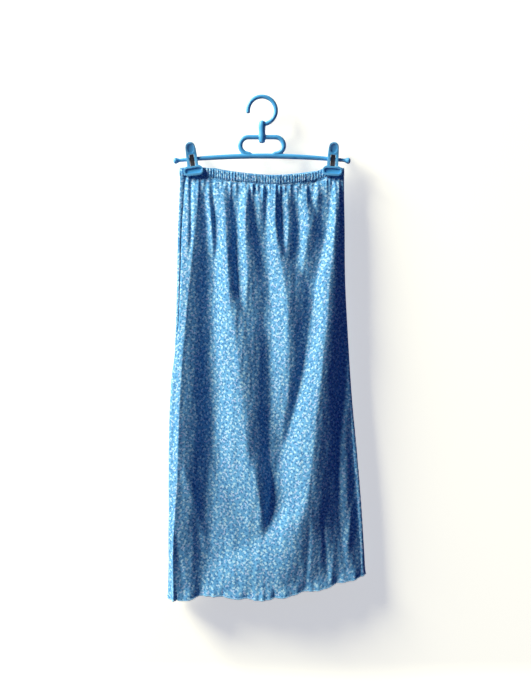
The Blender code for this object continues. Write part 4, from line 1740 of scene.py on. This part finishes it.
FRONT_FOLDS = FoldChart(
    arches=(
        Arch((
            (0.04, -130, 6, 30, 12), (0.10, -133, 8, 42, 17), (0.16, -139, 10, 50, 24),
            (0.22, -143, 12, 54, 30), (0.28, -148, 14, 60, 36), (0.35, -152, 17, 60, 42),
            (0.43, -157, 21, 50, 50), (0.50, -161, 23, 40, 55), (0.65, -165, 23, 34, 58),
            (0.72, -168, 20, 28, 54), (0.79, -173, 19, 20, 50), (0.87, -177, 23, 14, 52),
            (0.93, -177, 23, 12, 55), (1.00, -173, 21, 12, 54),
        ), fall=1.08, climb=1.15),
        Arch(((0.04, -109, 5, 10, 9), (0.10, -104, 8, 9, 8), (0.16, -101, 5, 9, 8), (0.21, -99, 0, 9, 8))),
        Arch((
            (0.04, -78, 7, 21, 15), (0.10, -74, 12, 25, 20), (0.16, -73, 13, 23, 20),
            (0.22, -70, 14, 25, 20), (0.28, -66, 15, 30, 25), (0.35, -57, 17, 42, 70),
            (0.43, -48, 19, 50, 64), (0.50, -41, 20, 52, 58), (0.65, -28, 22, 58, 42),
            (0.72, -11, 23, 60, 30), (0.79, -4, 15, 50, 19), (0.84, -2, 8, 48, 20), (0.90, 0, 1, 46, 20),
            (0.94, 0, 0, 46, 20),
        ), fall=1.7, climb=1.15),
        Arch((
            (0.04, -31, 7, 14, 14), (0.10, -33, 13, 19, 22), (0.16, -32, 13, 20, 27),
            (0.22, -29, 12, 22, 36), (0.28, -33, 10, 18, 50), (0.33, -36, 7, 16, 56),
            (0.38, -38, 3, 16, 60), (0.43, -38, 0, 16, 50),
        ), climb=1.3),
        Arch(((0.04, -6, 4, 10, 13), (0.10, -2, 3, 9, 10), (0.14, 0, 0, 8, 9))),
        Arch((
            (0.04, 25, 8, 16, 14), (0.10, 27, 12, 18, 14), (0.16, 34, 13, 24, 20), (0.22, 43, 15, 30, 44),
            (0.28, 51, 17, 34, 48), (0.35, 54, 16, 36, 42), (0.43, 55, 14, 39, 34), (0.50, 53, 11, 37, 26),
            (0.57, 45, 6, 28, 20), (0.63, 40, 2, 20, 16), (0.67, 38, 0, 16, 16),
        ), climb=1.3),
        Arch(((0.04, 52, 6, 11, 16), (0.10, 54, 9, 13, 16), (0.16, 51, 8, 10, 20), (0.22, 50, 0, 10, 20))),
        Arch((
            (0.04, 88, 8, 16, 12), (0.10, 96, 12, 20, 24), (0.16, 92, 9, 16, 30), (0.21, 86, 5, 12, 36),
            (0.26, 82, 0, 12, 36),
        )),
        Arch(((0.04, 113, 6, 12, 12), (0.08, 112, 4, 10, 11), (0.12, 112, 0, 9, 10))),
        Arch((
            (0.04, 150, 7, 8, 16), (0.10, 149, 11, 12, 18), (0.16, 144, 13, 17, 22),
            (0.22, 139, 15, 24, 26), (0.28, 134, 17, 28, 32), (0.35, 131, 19, 33, 36),
            (0.43, 125, 20, 40, 37), (0.50, 118, 22, 46, 40), (0.57, 111, 23, 54, 44),
            (0.65, 105, 25, 64, 49), (0.72, 98, 26, 72, 55), (0.79, 88, 26, 62, 70),
            (0.87, 66, 21, 102, 90), (0.93, 50, 18, 150, 100), (1.00, 30, 13, 190, 122),
        ), fall=1.6, climb=1.2),
        Arch((
            (0.45, 176, 0, 14, 12), (0.57, 177, 3, 14, 12), (0.65, 172, 4, 14, 14), (0.72, 173, 5, 14, 14),
            (0.79, 174, 6, 14, 14), (0.87, 179, 5, 14, 14), (0.93, 182, 3, 14, 14), (1.00, 190, 4, 16, 12),
        )),
    ),
    creases=(
        Crease((-112, -200), (-106, -1080), 26, -5.0), Crease((205, -420), (228, -1260), 52, -10.0),
        Crease((-165, -716), (-104, -955), 8, 2.7), Crease((-146, -110), (-144, -330), 3.5, -3.6),
        Crease((-118, -230), (-96, -420), 9, -1.6), Crease((2, -380), (10, -640), 10, -2.0),
        Crease((66, -300), (78, -520), 9, -1.4), Crease((-104, -560), (-88, -820), 12, -1.5),
        Crease((20, -700), (10, -900), 11, 1.4), Crease((136, -560), (150, -840), 10, 1.6),
        Crease((-150, -880), (-60, -905), 8, -0.9), Crease((98, -850), (88, -1020), 5, -1.5),
        Crease((122, -830), (136, -1010), 5, -1.8), Crease((150, -880), (140, -1010), 5, 1.3),
        Crease((192, -800), (168, -950), 5, 1.6), Crease((160, -860), (176, -990), 6, -1.6),
        Crease((-30, -920), (70, -950), 7, -0.8), Crease((-184, -820), (-150, -1030), 5, -1.2),
    ),
    dips=(-206, -179, -155, -101, -57, -2, 53, 119, 186, 216),
)
BACK_FOLDS = FoldChart(
    arches=(
        Arch((
            (0.04, -140, 7, 14, 14), (0.22, -146, 11, 20, 34), (0.50, -160, 13, 16, 50),
            (0.79, -164, 11, 16, 40), (1.00, -168, 5, 14, 24),
        )),
        Arch((
            (0.04, -96, 7, 16, 14), (0.22, -98, 10, 24, 22), (0.50, -90, 13, 44, 36),
            (0.79, -82, 11, 56, 44), (1.00, -78, 4, 40, 40),
        )),
        Arch((
            (0.04, -58, 7, 14, 14), (0.22, -62, 10, 18, 18), (0.38, -58, 5, 16, 18), (0.48, -58, 0, 16, 18),
        )),
        Arch((
            (0.04, -22, 8, 16, 14), (0.22, -28, 11, 24, 22), (0.50, -20, 13, 34, 40),
            (0.65, -8, 12, 40, 38), (0.79, 6, 8, 48, 36), (0.93, 10, 1, 40, 30),
        )),
        Arch(((0.04, 14, 6, 12, 12), (0.22, 12, 8, 14, 14), (0.34, 12, 0, 12, 12))),
        Arch((
            (0.04, 52, 8, 18, 14), (0.22, 46, 12, 26, 26), (0.50, 50, 14, 42, 36), (0.72, 64, 13, 52, 44),
            (0.87, 76, 8, 56, 50), (1.00, 84, 4, 50, 50),
        )),
        Arch(((0.04, 92, 7, 14, 14), (0.22, 92, 8, 16, 16), (0.38, 90, 0, 16, 16))),
        Arch((
            (0.04, 138, 8, 18, 16), (0.22, 130, 12, 24, 28), (0.50, 118, 15, 30, 40),
            (0.72, 132, 13, 34, 36), (0.87, 142, 9, 36, 30), (1.00, 150, 4, 30, 26),
        )),
        Arch((
            (0.34, 166, 0, 12, 12), (0.50, 170, 7, 14, 12), (0.79, 184, 10, 18, 14), (1.00, 190, 5, 18, 14),
        )),
    ),
    creases=(
        Crease((-128, -260), (-116, -470), 9, -1.5), Crease((4, -380), (-6, -610), 10, -1.8),
        Crease((96, -330), (104, -560), 9, -1.5), Crease((-20, -680), (-8, -880), 11, 1.4),
        Crease((60, -640), (76, -860), 12, -1.5), Crease((-110, -870), (-20, -895), 8, -0.9),
    ),
    dips=(-200, -170, -124, -88, -36, 12, 50, 98, 152, 190, 218),
)


CLIPS = (("clip_left", -143.5 * MM, -7.6), ("clip_right", 145.5 * MM, 3.8))
PANELS = ((Side.FRONT, FRONT_FOLDS, 0.4, 0.6), (Side.BACK, BACK_FOLDS, 2.2, 1.9))


def main() -> None:
    """Builds every piece in order and reports each."""
    logging.basicConfig(level=logging.INFO, format="%(message)s")
    wardrobe = Wardrobe.stitched()
    form = TubeForm()
    casing = WaistCasing(form)
    pieces = [casing.build(wardrobe), CasingStitches(casing).build(wardrobe)]
    for side, folds, gathers_salt, waves_salt in PANELS:
        panel = SkirtPanel(side, form, folds, WaistGathers(gathers_salt), HemWaves(folds.dips, waves_salt))
        cloth = panel.build(wardrobe)
        hem = RolledHem(panel).build(wardrobe)
        pieces += [cloth, hem]
    hanger = HangerFrame()
    pieces.append(hanger.build(wardrobe))
    for name, across, lean in CLIPS:
        pieces += HangerClip(name, across, math.radians(lean), hanger).build(wardrobe)
    Studio().build()
    for piece in pieces:
        LOG.info("%s: %d faces", piece.name, len(piece.data.polygons))


if __name__ == "__main__":
    main()
